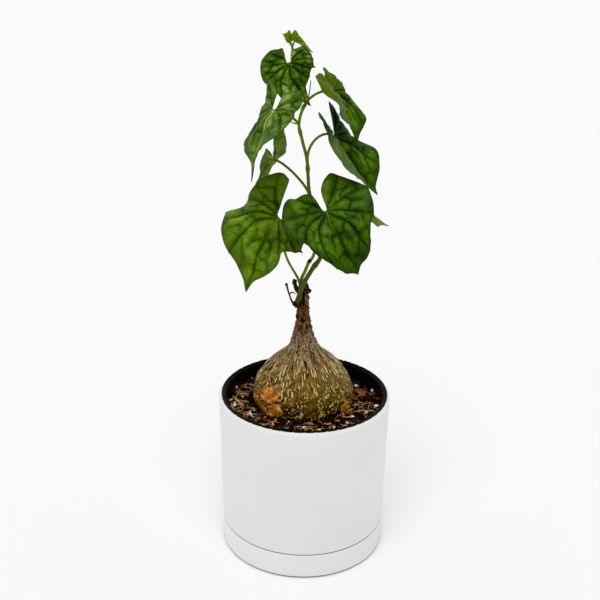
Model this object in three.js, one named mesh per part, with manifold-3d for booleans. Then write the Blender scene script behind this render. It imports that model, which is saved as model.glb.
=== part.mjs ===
// Potted gerrardanthus macrorhizus: a climbing caudex plant in a white ceramic pot on its saucer.
// Millimetres, +Z up. The origin is on the pot's axis, on the table, and the front is towards -Y.
import * as THREE from "three";
import { mergeVertices } from "three/addons/utils/BufferGeometryUtils.js";
import Module from "manifold-3d";

const wasm = await Module();
wasm.setup();

// Driving sizes of the pots and the soil
const gap = 0.3;
const saucer = { radius: 55.1, height: 18, wall: 4, floor: 4, edge: 1 };
const pot = {
  rimRadius: 57,
  seamRadius: 55.1,
  height: 109.3,
  wall: 4,
  footRadius: 49.6,
  footWall: 4.2,
  floor: 4.2,
  edge: 1,
  drainRadius: 7,
};
const liner = {
  lipRadius: 55.2,
  lipThick: 1.2,
  topRadius: 52.4,
  baseRadius: 40,
  base: 12.5,
  wall: 1.1,
  knurls: 36,
  knurlDepth: 0.5,
  drainRadius: 4,
  drainCircle: 27,
};
const soil = {
  top: 101.5,
  slope: 0.03,
  bump: 0.9,
  rings: [14, 24, 32, 38, 43, 47],
  grains: 22,
  shreds: 18,
  strewn: [36.5, 47],
};
const roundSides = 48;

// Driving sizes of the caudex: its height and radius from the buried root up to the crown
const caudex = {
  axis: new THREE.Vector3(-0.9, 4, 0),
  lean: new THREE.Vector3(-1.2, -0.5, 0),
  profile: [
    [84, 9],
    [87, 17],
    [92, 25],
    [98, 30.6],
    [105, 33.3],
    [112, 33.2],
    [119, 30.6],
    [127, 25.2],
    [134, 17.6],
    [139, 11.8],
    [143, 9],
    [147, 7.2],
    [152, 5.6],
    [160, 4.2],
    [168, 3.5],
    [176, 3.4],
    [183, 3.2],
    [187, 2.2],
  ],
  ribs: 9,
  ribHeight: 0.9,
  warts: 16,
  wartBand: [106, 134],
  collar: { at: [-4.7, 0.9, 172.4], radius: 2.9 },
  scar: { at: [-2, 0.1, 161.6], radius: 1.1 },
};

// Shape shared by all the leaves
const blade = {
  thick: 0.6,
  veins: [0, 36, 72, 110, 148, 180],
  columns: [0, 5, 14, 25, 36, 48, 60, 72, 85, 98, 110, 123, 136, 148, 164, 180],
  rings: [0.26, 0.52, 0.77, 1],
  outline: [
    [0, 1],
    [5, 0.9],
    [12, 0.81],
    [22, 0.76],
    [35, 0.73],
    [52, 0.75],
    [60, 0.71],
    [75, 0.66],
    [92, 0.66],
    [100, 0.625],
    [115, 0.6],
    [145, 0.58],
    [158, 0.52],
    [168, 0.4],
    [180, 0.33],
  ],
  reachAt: [0, 20, 38, 62, 80, 105, 150],
  backReach: 0.72,
  foldWidth: 0.07,
  foldReach: 0.55,
  curlReach: 0.6,
  quilt: 1.3,
  wave: 0.4,
  tooth: 0.035,
};

// The grown leaves. at is the petiole's seat, along the midrib there, face the upper side.
// Angles are in radians: droop along the midrib and behind the seat, fold and curl across it.
const leaves = {
  leaf_crest: {
    at: [-12.3, -5.6, 327.7],
    along: [0.23, 0.12, -0.97],
    face: [0.38, -0.92, -0.02],
    length: 28.1,
    reach: {
      left: [0.81, 0.75, 0.8, 0.88, 0.99, 0.99],
      right: [0.99, 0.94, 0.86, 0.9, 0.97, 1.01],
    },
    droop: [-0.12, -1.14, -0.74],
    swing: -0.3,
    twist: 0.34,
    fold: { left: [0.55, 0.44, 0.1], right: [0.2, -0.1, 0] },
    curl: { left: [0.81, -0.08], right: [-0.24, -0.15] },
    sinus: { left: 0.1, right: 0.1 },
    tail: 1,
    petiole: [[-5.6, -1.6, 318], [-8.8, -2.4, 323.5], [-10.6, -4.6, 326.4]],
  },
  leaf_left_upper: {
    at: [-20.7, -25.3, 304],
    along: [-0.43, -0.38, -0.82],
    face: [-0.18, -0.85, 0.49],
    length: 34.7,
    reach: {
      left: [0.96, 1, 1.13, 0.99, 0.8, 0.96],
      right: [1.16, 1.16, 1, 0.96, 0.94, 0.88],
    },
    droop: [0.26, 0.44, -1.31],
    swing: 0.02,
    twist: -1,
    fold: { left: [-0.34, 0.73, 0.74], right: [-0.32, -0.7, 0.46] },
    curl: { left: [-0.05, -0.56], right: [-0.63, -0.51] },
    sinus: { left: 0.06, right: 0.06 },
    tail: 9,
    petiole: [[-6, -4, 291.5], [-10.7, -7.5, 296.7], [-15.3, -11.5, 300], [-19, -15, 301.8]],
  },
  leaf_right_upper: {
    at: [14.4, 1.5, 309.8],
    along: [0.51, 0.08, -0.86],
    face: [0.74, -0.54, 0.39],
    length: 33.9,
    reach: {
      left: [1.05, 1.07, 1.08, 1.01, 0.91, 0.91],
      right: [0.99, 1.02, 1.1, 1.15, 1.22, 1.03],
    },
    droop: [-0.23, -0.09, 0.16],
    swing: 0.65,
    twist: 0.11,
    fold: { left: [-0.14, 0.36, 0.35], right: [0.66, 1.07, 0.96] },
    curl: { left: [-1.5, -0.08], right: [-0.58, -1.12] },
    sinus: { left: 0.05, right: 0.05 },
    tail: 1,
    petiole: [[-1.4, -2, 305], [1.6, -1, 307.4], [5.1, 0, 309.4], [10.5, 1.4, 310.6]],
  },
  leaf_right_middle: {
    at: [15.1, -1.0, 283.6],
    along: [0.56, -0.02, -0.83],
    face: [0.66, -0.6, 0.46],
    length: 43.8,
    reach: {
      left: [1.06, 1.06, 1.01, 0.97, 0.91, 0.83],
      right: [0.99, 1, 1.01, 0.98, 0.93, 1.03],
    },
    droop: [-0.24, -0.23, -0.15],
    swing: 0.12,
    twist: -0.05,
    fold: { left: [0.51, 0.31, 0.26], right: [1.25, 1.22, 0.73] },
    curl: { left: [-1.56, 0.11], right: [-0.97, -0.02] },
    sinus: { left: 0.1, right: 0.1 },
    tail: 1.5,
    petiole: [[-0.8, -2, 268.9], [0.3, -4, 275.7], [3.2, -6, 281.7], [7.3, -7, 285.4], [11, -7, 286.4]],
  },
  leaf_left_inner: {
    at: [-21.1, 10.9, 265.4],
    along: [-0.28, 0.32, -0.9],
    face: [-0.95, 0.05, 0.32],
    length: 32.2,
    reach: {
      left: [1, 1, 1, 1, 0.99, 0.99],
      right: [1, 0.99, 0.98, 1.02, 1.07, 1.13],
    },
    droop: [-0.4, -0.04, -1.16],
    swing: -0.38,
    twist: 0,
    fold: { left: [0.69, 0.59, 0.23], right: [0.47, 0.53, 0.21] },
    curl: { left: [-0.51, 0.04], right: [-1.45, 0.02] },
    sinus: { left: 0.09, right: 0.09 },
    tail: 1,
    petiole: [[0.8, 0, 247.5], [-3, 0.2, 253.2], [-9.3, 2, 259.8], [-14.3, 4, 263.6], [-18.1, 6, 265.6]],
  },
  leaf_front_left: {
    at: [-17.4, -19.1, 237],
    along: [-0.56, -0.63, -0.53],
    face: [0.44, -0.77, 0.45],
    length: 48.1,
    reach: {
      left: [0.95, 0.63, 0.7, 0.72, 0.78, 0.85],
      right: [1.07, 1.05, 0.93, 0.85, 0.91, 0.97],
    },
    droop: [0.06, 0.46, 0.85],
    swing: -0.56,
    twist: -0.1,
    fold: { left: [0.1, -0.35, 0.5], right: [1.16, -0.36, 0.29] },
    curl: { left: [0.6, 0.6], right: [-1, 0.49] },
    sinus: { left: 0.1, right: 0.1 },
    tail: 4,
    petiole: [
      [-3.6, 3.2, 184],
      [-5.4, 0.8, 190.4],
      [-12, -9.5, 206.8],
      [-15.6, -13, 220],
      [-17.9, -14.6, 232],
    ],
  },
  leaf_front_right: {
    at: [11, -26.6, 244],
    along: [0.42, -0.44, -0.79],
    face: [0.12, -0.83, 0.54],
    length: 42.3,
    reach: {
      left: [1.04, 1.06, 0.95, 0.99, 1.05, 1.02],
      right: [1.17, 1.13, 0.85, 0.95, 1.1, 0.79],
    },
    droop: [0.24, 0.34, -0.42],
    swing: -0.13,
    twist: -0.29,
    fold: { left: [-0.2, 0.2, 0.53], right: [0.08, 0.05, 0.68] },
    curl: { left: [0, 1.06], right: [0.18, 1.6] },
    sinus: { left: 0.04, right: 0.08 },
    tail: 1,
    petiole: [[6.9, 6, 222.2], [9.5, 2.5, 228.5], [11.3, -4, 234.5], [11.2, -13, 238.5], [10.7, -20, 241]],
  },
  leaf_back_right: {
    at: [22.3, 14, 233.9],
    along: [0.82, 0.38, -0.42],
    face: [0.4, 0.14, 0.9],
    length: 36.3,
    reach: {
      left: [1, 1, 1, 1, 0.8, 0.5],
      right: [0.97, 0.97, 1, 1, 0.8, 0.5],
    },
    droop: [0.09, -0.27, 0],
    swing: 0.08,
    twist: -0.21,
    fold: { left: [0.2, 0.21, 0.25], right: [0.2, 0.31, 0] },
    curl: { left: [0.01, 0.04], right: [0.2, -0.19] },
    sinus: { left: 0.09, right: 0.09 },
    tail: 1,
    petiole: [[5.8, 2, 211.5], [10, 6.5, 219], [16, 11, 228], [20.4, 13, 231.6]],
  },
};

// The two young leaves at the growing tip, not yet unfolded
const youngLeaves = {
  leaf_tip_left: {
    at: [-12.4, -6.4, 340.6],
    along: [-0.6, -0.1, 0.8],
    face: [-0.3, -0.9, -0.2],
    length: 5.6,
    fold: 0.9,
    petiole: [[-10.9, -6, 337.8], [-12, -6.3, 339.6]],
  },
  leaf_tip_right: {
    at: [-9.1, -6.4, 340.6],
    along: [0.82, -0.15, -0.52],
    face: [0.45, -0.35, 0.8],
    length: 11.5,
    fold: 0.8,
    petiole: [[-10.5, -6, 336.6], [-9.7, -6.2, 339.2]],
  },
};

// Routes of the stems, and their radius from the root end to the tip
const vine = {
  path: [
    [-2.6, 3.4, 169],
    [-5.6, -0.6, 174],
    [-4.2, -3.6, 180.9],
    [-2.1, -6, 188.6],
    [4, -8, 201],
    [8.3, -8, 207.7],
    [9.3, -5, 218.6],
    [6.6, -1.5, 230.4],
    [1.1, 0, 247.5],
    [0, -1, 258.6],
    [-0.8, -2, 268.9],
    [-4.1, -3, 282.1],
    [-6, -4, 291.5],
    [-3.7, -3, 300.9],
    [-1.4, -2, 305],
    [-3.3, -1.2, 312.5],
    [-6.4, -2, 322],
    [-8.8, -3.6, 330.5],
    [-10.6, -6, 337.1],
    [-11.4, -6.4, 340.4],
  ],
  radii: [1.9, 1.7, 1.5, 1.15, 1, 0.92, 0.88, 0.8, 0.65, 0.5],
};
const shoot = {
  path: [
    [-2.4, 3.6, 184],
    [-3, 2.4, 189.6],
    [-0.9, 1.6, 195.1],
    [1.5, 1, 201.6],
    [3.8, 1, 204.9],
    [5.8, 2, 211.5],
    [7, 4, 215.5],
    [6.9, 6, 222.6],
  ],
  radii: [1.2, 1.1, 1.05, 1],
  bud: { at: [1.9, 0.2, 202.6], radius: 1.4 },
};
const tendrils = [
  [[-1.4, -2, 305], [-0.2, -2.2, 309.1], [0.7, -2, 317.1]],
  [[-6, -4, 291.5], [-9.4, -3.6, 291.9], [-13.4, -3.8, 294.6]],
];
const petioleRadius = 0.65;
const tendrilRadius = 0.35;

// Small dead parts that stay on the caudex: bud stubs and a dry branched twig
const deadTwigs = [
  { path: [[-4, 3, 180], [-6, 1.6, 182.4], [-8, 1.4, 189]], radii: [1.7, 1.5, 1] },
  { path: [[-1.6, 3, 179.6], [1.3, 1.8, 181], [2, 1.4, 181.8]], radii: [1.6, 1.4, 0.9] },
  { path: [[-2, 3, 182], [-0.4, 1.8, 185.4], [0.3, 1.6, 186.8]], radii: [1.1, 0.9, 0.5] },
  {
    path: [[-5, 1.6, 171], [-8.4, -2.6, 174.8], [-10.9, -5, 182], [-12.6, -6, 188.8]],
    radii: [0.8, 0.7, 0.5, 0.7],
  },
  { path: [[-10.8, -4.8, 181.6], [-8.9, -5.6, 183.4], [-6.8, -5.9, 182.4]], radii: [0.5, 0.45, 0.35] },
];

// Dry leaf flakes that lie against the caudex, by angle round its axis and height
const flakes = {
  dry_flake_upper: { turn: [3.86, 4.3], height: [113, 123], clear: 0.6, curl: 2.2 },
  dry_flake_lower: { turn: [4.08, 4.4], height: [104.4, 111], clear: 0.5, curl: 2.4 },
};

// Material looks
const looks = {
  ceramic: { color: "#e9e8e6", roughness: 0.6, metalness: 0 },
  blackPlastic: { color: "#141414", roughness: 0.45, metalness: 0 },
  soilMix: { color: "#2f2119", roughness: 1, metalness: 0 },
  caudexBark: { color: "#7d6a45", roughness: 0.9, metalness: 0 },
  vineBark: { color: "#6f7a2c", roughness: 0.6, metalness: 0 },
  greenStem: { color: "#7c9a34", roughness: 0.5, metalness: 0 },
  leafGreen: { color: "#3f6a1c", roughness: 0.4, metalness: 0 },
  dryLeaf: { color: "#8a5a2e", roughness: 0.9, metalness: 0 },
};

const point = (p) => new THREE.Vector3(p[0], p[1], p[2]);
const clamp = (x) => Math.min(1, Math.max(0, x));
const ease = (x) => clamp(x) * clamp(x) * (3 - 2 * clamp(x));
const mix = (a, b, t) => a + (b - a) * t;

// Straight-line reading of a list of [place, value] pairs
function read(pairs, at) {
  if (at <= pairs[0][0]) return pairs[0][1];
  for (let i = 1; i < pairs.length; i++) {
    if (at <= pairs[i][0]) {
      const t = (at - pairs[i - 1][0]) / (pairs[i][0] - pairs[i - 1][0]);
      return mix(pairs[i - 1][1], pairs[i][1], t);
    }
  }
  return pairs[pairs.length - 1][1];
}

// A repeatable random number source
function seeded(seed) {
  let state = seed;
  return () => {
    state = (state * 1664525 + 1013904223) % 4294967296;
    return state / 4294967296;
  };
}

// A manifold-3d solid from a closed geometry, without its flat slivers
function toSolid(geometry) {
  let bare = geometry.index ? geometry.clone() : geometry;
  bare.deleteAttribute("normal");
  bare.deleteAttribute("uv");
  bare = mergeVertices(bare, 1e-4);
  const index = bare.index.array;
  const kept = [];
  for (let i = 0; i < index.length; i += 3) {
    const [a, b, c] = [index[i], index[i + 1], index[i + 2]];
    if (a !== b && b !== c && c !== a) kept.push(a, b, c);
  }
  const vertProperties = Float32Array.from(bare.attributes.position.array);
  const triVerts = Uint32Array.from(kept);
  return new wasm.Manifold(new wasm.Mesh({ numProp: 3, vertProperties, triVerts }));
}

// What a cut leaves whole: crumbs beside the largest body are dropped
function largest(solid) {
  return solid.decompose().reduce((a, b) => (b.volume() > a.volume() ? b : a));
}

function toGeometry(solid) {
  const mesh = solid.getMesh();
  const geometry = new THREE.BufferGeometry();
  geometry.setAttribute("position", new THREE.BufferAttribute(mesh.vertProperties, 3));
  geometry.setIndex(new THREE.BufferAttribute(mesh.triVerts, 1));
  geometry.computeVertexNormals();
  return geometry;
}

function indexed(points, triangles) {
  const geometry = new THREE.BufferGeometry();
  const flat = points.flatMap((p) => [p.x, p.y, p.z]);
  geometry.setAttribute("position", new THREE.Float32BufferAttribute(flat, 3));
  geometry.setIndex(triangles);
  return geometry;
}

// A solid of revolution about +Z from [radius, height] pairs
function turned(profile, segments) {
  const outline = profile.map(([r, z]) => new THREE.Vector2(r, z));
  const geometry = new THREE.LatheGeometry(outline, segments);
  geometry.rotateX(Math.PI / 2);
  return geometry;
}

// A round stem through some points, its radius read from the list of radii
function stem(path, radii, sides, steps, extra = 0) {
  const curve = new THREE.CatmullRomCurve3(path.map(point), false, "centripetal");
  const frames = curve.computeFrenetFrames(steps, false);
  const spread = radii.map((r, i) => [i / (radii.length - 1), r]);
  const points = [curve.getPointAt(0)];
  for (let i = 0; i <= steps; i++) {
    const centre = curve.getPointAt(i / steps);
    const radius = read(spread, i / steps) + extra;
    for (let k = 0; k < sides; k++) {
      const turn = (k / sides) * 2 * Math.PI;
      const spoke = frames.normals[i].clone().multiplyScalar(Math.cos(turn) * radius);
      spoke.addScaledVector(frames.binormals[i], Math.sin(turn) * radius);
      points.push(centre.clone().add(spoke));
    }
  }
  points.push(curve.getPointAt(1));
  const last = points.length - 1;
  const triangles = [];
  for (let k = 0; k < sides; k++) {
    const next = (k + 1) % sides;
    triangles.push(0, 1 + next, 1 + k);
    for (let i = 0; i < steps; i++) {
      const low = 1 + i * sides;
      const high = low + sides;
      triangles.push(low + k, low + next, high + next);
      triangles.push(low + k, high + next, high + k);
    }
    triangles.push(last, last - sides + k, last - sides + next);
  }
  return indexed(points, triangles);
}

// The midrib: places and frames ahead of the petiole's seat and behind it
function midrib(leaf) {
  const along = point(leaf.along).normalize();
  const face = point(leaf.face);
  face.addScaledVector(along, -face.dot(along)).normalize();
  const start = { at: point(leaf.at), along, across: along.clone().cross(face), face };
  const march = (sign, steps, length, droopAt, swing, twist) => {
    const stations = [start];
    for (let i = 0; i < steps; i++) {
      const now = stations[i];
      const step = length / steps;
      const bend = (droopAt((i + 0.5) / steps) / steps) * sign;
      const nextAlong = now.along.clone().addScaledVector(now.face, -bend);
      const tipped = now.face.clone().addScaledVector(now.along, bend);
      const swung = now.across.clone().addScaledVector(nextAlong, -swing / steps);
      nextAlong.addScaledVector(now.across, swing / steps).normalize();
      tipped.addScaledVector(swung, -twist / steps);
      tipped.addScaledVector(nextAlong, -tipped.dot(nextAlong)).normalize();
      const at = now.at.clone();
      at.addScaledVector(now.along, (sign * step) / 2).addScaledVector(nextAlong, (sign * step) / 2);
      stations.push({ at, along: nextAlong, across: nextAlong.clone().cross(tipped), face: tipped });
    }
    return stations;
  };
  const [first, growth, back] = leaf.droop;
  const ahead = march(1, 32, leaf.length, (x) => first + growth * x, leaf.swing, leaf.twist);
  const behind = march(-1, 16, blade.backReach * leaf.length, () => back, 0, 0);
  return (v) => {
    const side = v >= 0 ? ahead : behind;
    const place = Math.min(Math.abs(v) / (v >= 0 ? 1 : blade.backReach), 1) * (side.length - 1);
    const i = Math.min(Math.floor(place), side.length - 2);
    const t = place - i;
    const at = side[i].at.clone().lerp(side[i + 1].at, t);
    const across = side[i].across.clone().lerp(side[i + 1].across, t);
    at.addScaledVector(side[i].along, Math.max(0, v - 1) * leaf.length);
    return { at, across, face: side[i].face.clone().lerp(side[i + 1].face, t) };
  };
}

// Where the flat leaf's point (across, ahead), in leaf lengths, lies once folded and curled
function bladeShape(leaf) {
  const rib = midrib(leaf);
  return (across, ahead) => {
    const side = across > 0 ? "right" : "left";
    const [foldBack, foldSeat, foldTip] = leaf.fold[side];
    const [curlBack, curlTip] = leaf.curl[side];
    const towards = ahead < 0 ? foldBack : foldTip;
    const fold = mix(foldSeat, towards, ease(ahead < 0 ? -ahead / blade.foldReach : ahead));
    const curl = ahead < 0 ? curlBack : mix(curlBack, curlTip, ease(ahead));
    const steps = 12;
    const reach = Math.abs(across);
    let out = 0;
    let up = 0;
    for (let i = 0; i < steps; i++) {
      const s = (reach * (i + 0.5)) / steps;
      const folded = fold * (1 - Math.exp(-s / blade.foldWidth));
      const angle = folded + (curl * s) / blade.curlReach;
      out += (Math.cos(angle) * reach) / steps;
      up += (Math.sin(angle) * reach) / steps;
    }
    const station = rib(ahead);
    station.at.addScaledVector(station.across, Math.sign(across) * out * leaf.length);
    return station.at.addScaledVector(station.face, up * leaf.length);
  };
}

// How far a column lies from its nearest ray of veins, 0 on a vein and 1 midway
function betweenVeins(degrees) {
  const i = Math.min(blade.veins.findIndex((v) => degrees <= v), blade.veins.length - 1);
  if (i < 1) return 0;
  const t = (degrees - blade.veins[i - 1]) / (blade.veins[i] - blade.veins[i - 1]);
  return Math.sin(Math.PI * t);
}

// The leaf's blade: rays from the seat, quilted between the veins, the margin toothed at them
function bladeSurface(leaf) {
  const shape = bladeShape(leaf);
  const half = leaf.young ? blade.veins : blade.columns;
  const parts = leaf.young ? [0.55, 1] : blade.rings;
  const signed = [...half.slice(1).map((a) => -a).reverse(), ...half];
  const flat = (degrees, part) => {
    const a = Math.abs(degrees);
    const side = degrees > 0 ? "right" : "left";
    const reach = leaf.reach[side];
    const factor = read(blade.reachAt.map((at, i) => [at, i ? reach[i - 1] : 1]), a);
    const onVein = a > 20 && a < 160 && betweenVeins(a) < 0.01 ? blade.tooth : 0;
    const tail = a === 0 ? leaf.tail / leaf.length : 0;
    const r = part * (read(blade.outline, a) * factor + (part === 1 ? onVein + tail : 0));
    const sinus = leaf.sinus[side];
    const open = Math.PI - Math.asin(Math.min(0.95, sinus / (r + 1.4 * sinus)));
    const turn = (a * Math.PI) / 180;
    const spread = Math.PI / 2;
    const bent = turn < spread ? turn : spread + ((turn - spread) / spread) * (open - spread);
    return [r * Math.sin(bent) * Math.sign(degrees), r * Math.cos(bent)];
  };
  const points = [shape(0, 0)];
  const lifts = [0];
  signed.forEach((degrees) => {
    parts.forEach((part, j) => {
      points.push(shape(...flat(degrees, part)));
      const crease = betweenVeins(Math.abs(degrees)) * (j % 2 ? 1 : 0.55);
      const wave = Math.sin((degrees * Math.PI) / 30) * part ** 4 * blade.wave;
      lifts.push(leaf.quilt * (crease * (part < 1 ? 1 : 0.3) + wave));
    });
  });
  return { points, lifts, columns: signed.length, rings: parts.length };
}

// Gives a sheet of points its thickness: the same triangles on both faces and a wall round the edge
function thicken(points, lifts, triangles, edge, thick) {
  const normals = points.map(() => new THREE.Vector3());
  for (let i = 0; i < triangles.length; i += 3) {
    const [a, b, c] = [0, 1, 2].map((k) => points[triangles[i + k]]);
    const normal = b.clone().sub(a).cross(c.clone().sub(a));
    [0, 1, 2].forEach((k) => normals[triangles[i + k]].add(normal));
  }
  normals.forEach((n) => n.normalize());
  const face = (side) =>
    points.map((p, i) => p.clone().addScaledVector(normals[i], lifts[i] + (side * thick) / 2));
  const count = points.length;
  const all = [...triangles];
  for (let i = 0; i < triangles.length; i += 3) {
    all.push(count + triangles[i], count + triangles[i + 2], count + triangles[i + 1]);
  }
  edge.forEach((a, i) => {
    const b = edge[(i + 1) % edge.length];
    all.push(a, count + a, count + b);
    all.push(a, count + b, b);
  });
  return indexed([...face(1), ...face(-1)], all);
}

function bladeGeometry(leaf) {
  const { points, lifts, columns, rings } = bladeSurface(leaf);
  const at = (i, j) => 1 + i * rings + j;
  const triangles = [];
  for (let i = 0; i < columns - 1; i++) {
    triangles.push(0, at(i + 1, 0), at(i, 0));
    for (let j = 0; j < rings - 1; j++) {
      triangles.push(at(i, j), at(i + 1, j), at(i + 1, j + 1));
      triangles.push(at(i, j), at(i + 1, j + 1), at(i, j + 1));
    }
  }
  const edge = [0];
  for (let j = 0; j < rings; j++) edge.push(at(columns - 1, j));
  for (let i = columns - 2; i >= 0; i--) edge.push(at(i, rings - 1));
  for (let j = rings - 2; j >= 0; j--) edge.push(at(0, j));
  return thicken(points, lifts, triangles, edge, blade.thick);
}

function leafSolid(leaf) {
  const grown = { quilt: blade.quilt, ...leaf };
  const steps = leaf.young ? 3 : 8;
  const petiole = stem([...leaf.petiole, leaf.at], [petioleRadius, petioleRadius], 5, steps);
  return toSolid(bladeGeometry(grown)).add(toSolid(petiole));
}

// A young leaf is a small one of the same shape, more closed
function youngLeaf(leaf) {
  const { fold } = leaf;
  return {
    reach: { left: [0.8, 0.7, 0.6, 0.6, 0.6, 0.8], right: [0.8, 0.7, 0.6, 0.6, 0.6, 0.8] },
    droop: [0.1, 0.2, 0],
    swing: 0,
    twist: 0,
    curl: { left: [0, 0], right: [0, 0] },
    sinus: { left: 0.12, right: 0.12 },
    tail: 0.4,
    quilt: 0.2,
    young: true,
    ...leaf,
    fold: { left: [fold, fold, fold], right: [fold, fold, fold] },
  };
}

// Radius of the caudex at a height and a turn about its axis, ribbed over the neck and shoulder
function caudexRadius(z, turn) {
  const ribbed = ease((z - 122) / 16) * (0.35 + 0.65 * ease((178 - z) / 30));
  const rib = Math.abs(Math.cos((caudex.ribs * turn) / 2 + Math.sin(z / 9) * 0.25)) - 0.5;
  const lumps = Math.sin(3 * turn + z / 7) * 0.35 + Math.sin(7 * turn - z / 3.1) * 0.25;
  const neck = ease((z - 130) / 20);
  const relief = rib * caudex.ribHeight * ribbed * (1 - 0.55 * neck) + lumps * (1 - neck);
  return read(caudex.profile, z) + relief;
}

function caudexCentre(z) {
  return caudex.axis.clone().addScaledVector(caudex.lean, ease((z - 130) / 50)).setZ(z);
}

function caudexPoint(z, turn, extra) {
  const radius = caudexRadius(z, turn) + extra;
  return caudexCentre(z).add(new THREE.Vector3(Math.cos(turn) * radius, Math.sin(turn) * radius, 0));
}

function caudexBody(extra) {
  const sides = 40;
  const levels = caudex.profile.map(([z]) => z);
  const points = [caudexCentre(levels[0] - 1 - extra)];
  levels.forEach((z) => {
    for (let k = 0; k < sides; k++) points.push(caudexPoint(z, (k / sides) * 2 * Math.PI, extra));
  });
  points.push(caudexCentre(levels.at(-1) + 0.8 + extra));
  const last = points.length - 1;
  const triangles = [];
  for (let k = 0; k < sides; k++) {
    const next = (k + 1) % sides;
    triangles.push(0, 1 + next, 1 + k);
    for (let i = 0; i < levels.length - 1; i++) {
      const low = 1 + i * sides;
      const high = low + sides;
      triangles.push(low + k, low + next, high + next);
      triangles.push(low + k, high + next, high + k);
    }
    triangles.push(last, last - sides + k, last - sides + next);
  }
  return toSolid(indexed(points, triangles));
}

function lump(centre, radius, squash, turn) {
  const geometry = new THREE.IcosahedronGeometry(radius, 0);
  geometry.scale(1, squash, 0.8);
  geometry.rotateZ(turn);
  geometry.translate(centre.x, centre.y, centre.z);
  return toSolid(geometry);
}

// The caudex with the collar round the vine's socket and the dead twigs
function caudexSolid(extra) {
  const collar = lump(point(caudex.collar.at), caudex.collar.radius + extra, 0.9, 0.6);
  let solid = caudexBody(extra).add(collar);
  deadTwigs.forEach((twig) => {
    solid = solid.add(toSolid(stem(twig.path, twig.radii, 6, 5, extra)));
  });
  return solid;
}

// The caudex as it is seen, with its warts and the hole of an old scar
function caudexWithWarts() {
  const random = seeded(11);
  const [low, high] = caudex.wartBand;
  let solid = caudexSolid(0);
  for (let i = 0; i < caudex.warts; i++) {
    const z = mix(low, high, random());
    const turn = random() * 2 * Math.PI;
    solid = solid.add(lump(caudexPoint(z, turn, -0.4), 1 + random() * 0.5, 0.9, turn));
  }
  return solid.subtract(lump(point(caudex.scar.at), caudex.scar.radius, 1, 0));
}

// The mix's surface, a little higher at the front
function soilTop(x, y) {
  const wave = Math.sin(x / 6.1 + 1) * Math.cos(y / 7.3) + 0.7 * Math.sin(x / 3.3 + y / 4.1);
  return soil.top - soil.slope * y + soil.bump * wave;
}

function linerInside(z) {
  const t = (z - liner.base) / (pot.height - liner.base);
  return mix(liner.baseRadius, liner.topRadius, t) - liner.wall;
}

function soilBody() {
  const sides = 36;
  const bottom = liner.base + liner.wall;
  const points = [new THREE.Vector3(0, 0, bottom), new THREE.Vector3(0, 0, soilTop(0, 0))];
  const ring = (radius, height) => {
    for (let k = 0; k < sides; k++) {
      const turn = (k / sides) * 2 * Math.PI;
      const [x, y] = [Math.cos(turn) * radius, Math.sin(turn) * radius];
      points.push(new THREE.Vector3(x, y, height ?? soilTop(x, y)));
    }
  };
  ring(linerInside(bottom) - gap * 2, bottom);
  ring(linerInside(soil.top - 2) - gap * 2, soil.top - 2);
  soil.rings.toReversed().forEach((radius) => ring(radius));
  const count = soil.rings.length + 2;
  const triangles = [];
  for (let k = 0; k < sides; k++) {
    const next = (k + 1) % sides;
    triangles.push(0, 2 + next, 2 + k);
    for (let i = 0; i < count - 1; i++) {
      const low = 2 + i * sides;
      const high = low + sides;
      triangles.push(low + k, low + next, high + next);
      triangles.push(low + k, high + next, high + k);
    }
    const top = 2 + (count - 1) * sides;
    triangles.push(1, top + k, top + next);
  }
  return toSolid(indexed(points, triangles));
}

// Perlite grains and bark shreds, sunk well into the mix's surface
function soilSolid() {
  const random = seeded(5);
  const place = () => {
    const turn = random() * 2 * Math.PI;
    const radius = mix(...soil.strewn, random());
    const [x, y] = [Math.cos(turn) * radius, Math.sin(turn) * radius];
    return new THREE.Vector3(x, y, soilTop(x, y));
  };
  let solid = soilBody();
  for (let i = 0; i < soil.grains; i++) {
    const size = 1.2 + random() * 0.9;
    solid = solid.add(lump(place().setZ(place().z - 0.2), size, 0.8, random() * 3));
  }
  for (let i = 0; i < soil.shreds; i++) {
    const shred = new THREE.BoxGeometry(6 + random() * 6, 1.6 + random(), 1.4);
    shred.rotateY((random() - 0.5) * 0.2);
    shred.rotateZ(random() * Math.PI);
    const centre = place();
    shred.translate(centre.x * 0.95, centre.y * 0.95, centre.z + 0.2);
    solid = solid.add(toSolid(shred));
  }
  return solid.subtract(caudexSolid(gap + 0.05));
}

function saucerSolid() {
  const { radius, height, wall, floor, edge } = saucer;
  return toSolid(
    turned(
      [
        [0, 0],
        [radius - edge, 0],
        [radius, edge],
        [radius, height - edge / 2],
        [radius - edge / 2, height],
        [radius - wall + edge / 2, height],
        [radius - wall, height - edge / 2],
        [radius - wall, floor],
        [0, floor],
      ],
      roundSides,
    ),
  );
}

function potSolid() {
  const { rimRadius, seamRadius, height, wall, footRadius, footWall, floor, edge, drainRadius } = pot;
  const foot = saucer.floor;
  const seam = saucer.height + gap;
  return toSolid(
    turned(
      [
        [drainRadius, foot],
        [footRadius - edge, foot],
        [footRadius, foot + edge],
        [footRadius, seam],
        [seamRadius - edge / 2, seam],
        [seamRadius, seam + edge],
        [rimRadius, height - edge],
        [rimRadius - edge, height],
        [rimRadius - wall + edge, height],
        [rimRadius - wall, height - edge],
        [seamRadius - wall, seam + 2 * wall],
        [footRadius - footWall, seam + wall],
        [footRadius - footWall, foot + floor],
        [drainRadius, foot + floor],
        [drainRadius, foot],
      ],
      roundSides,
    ),
  );
}

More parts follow.
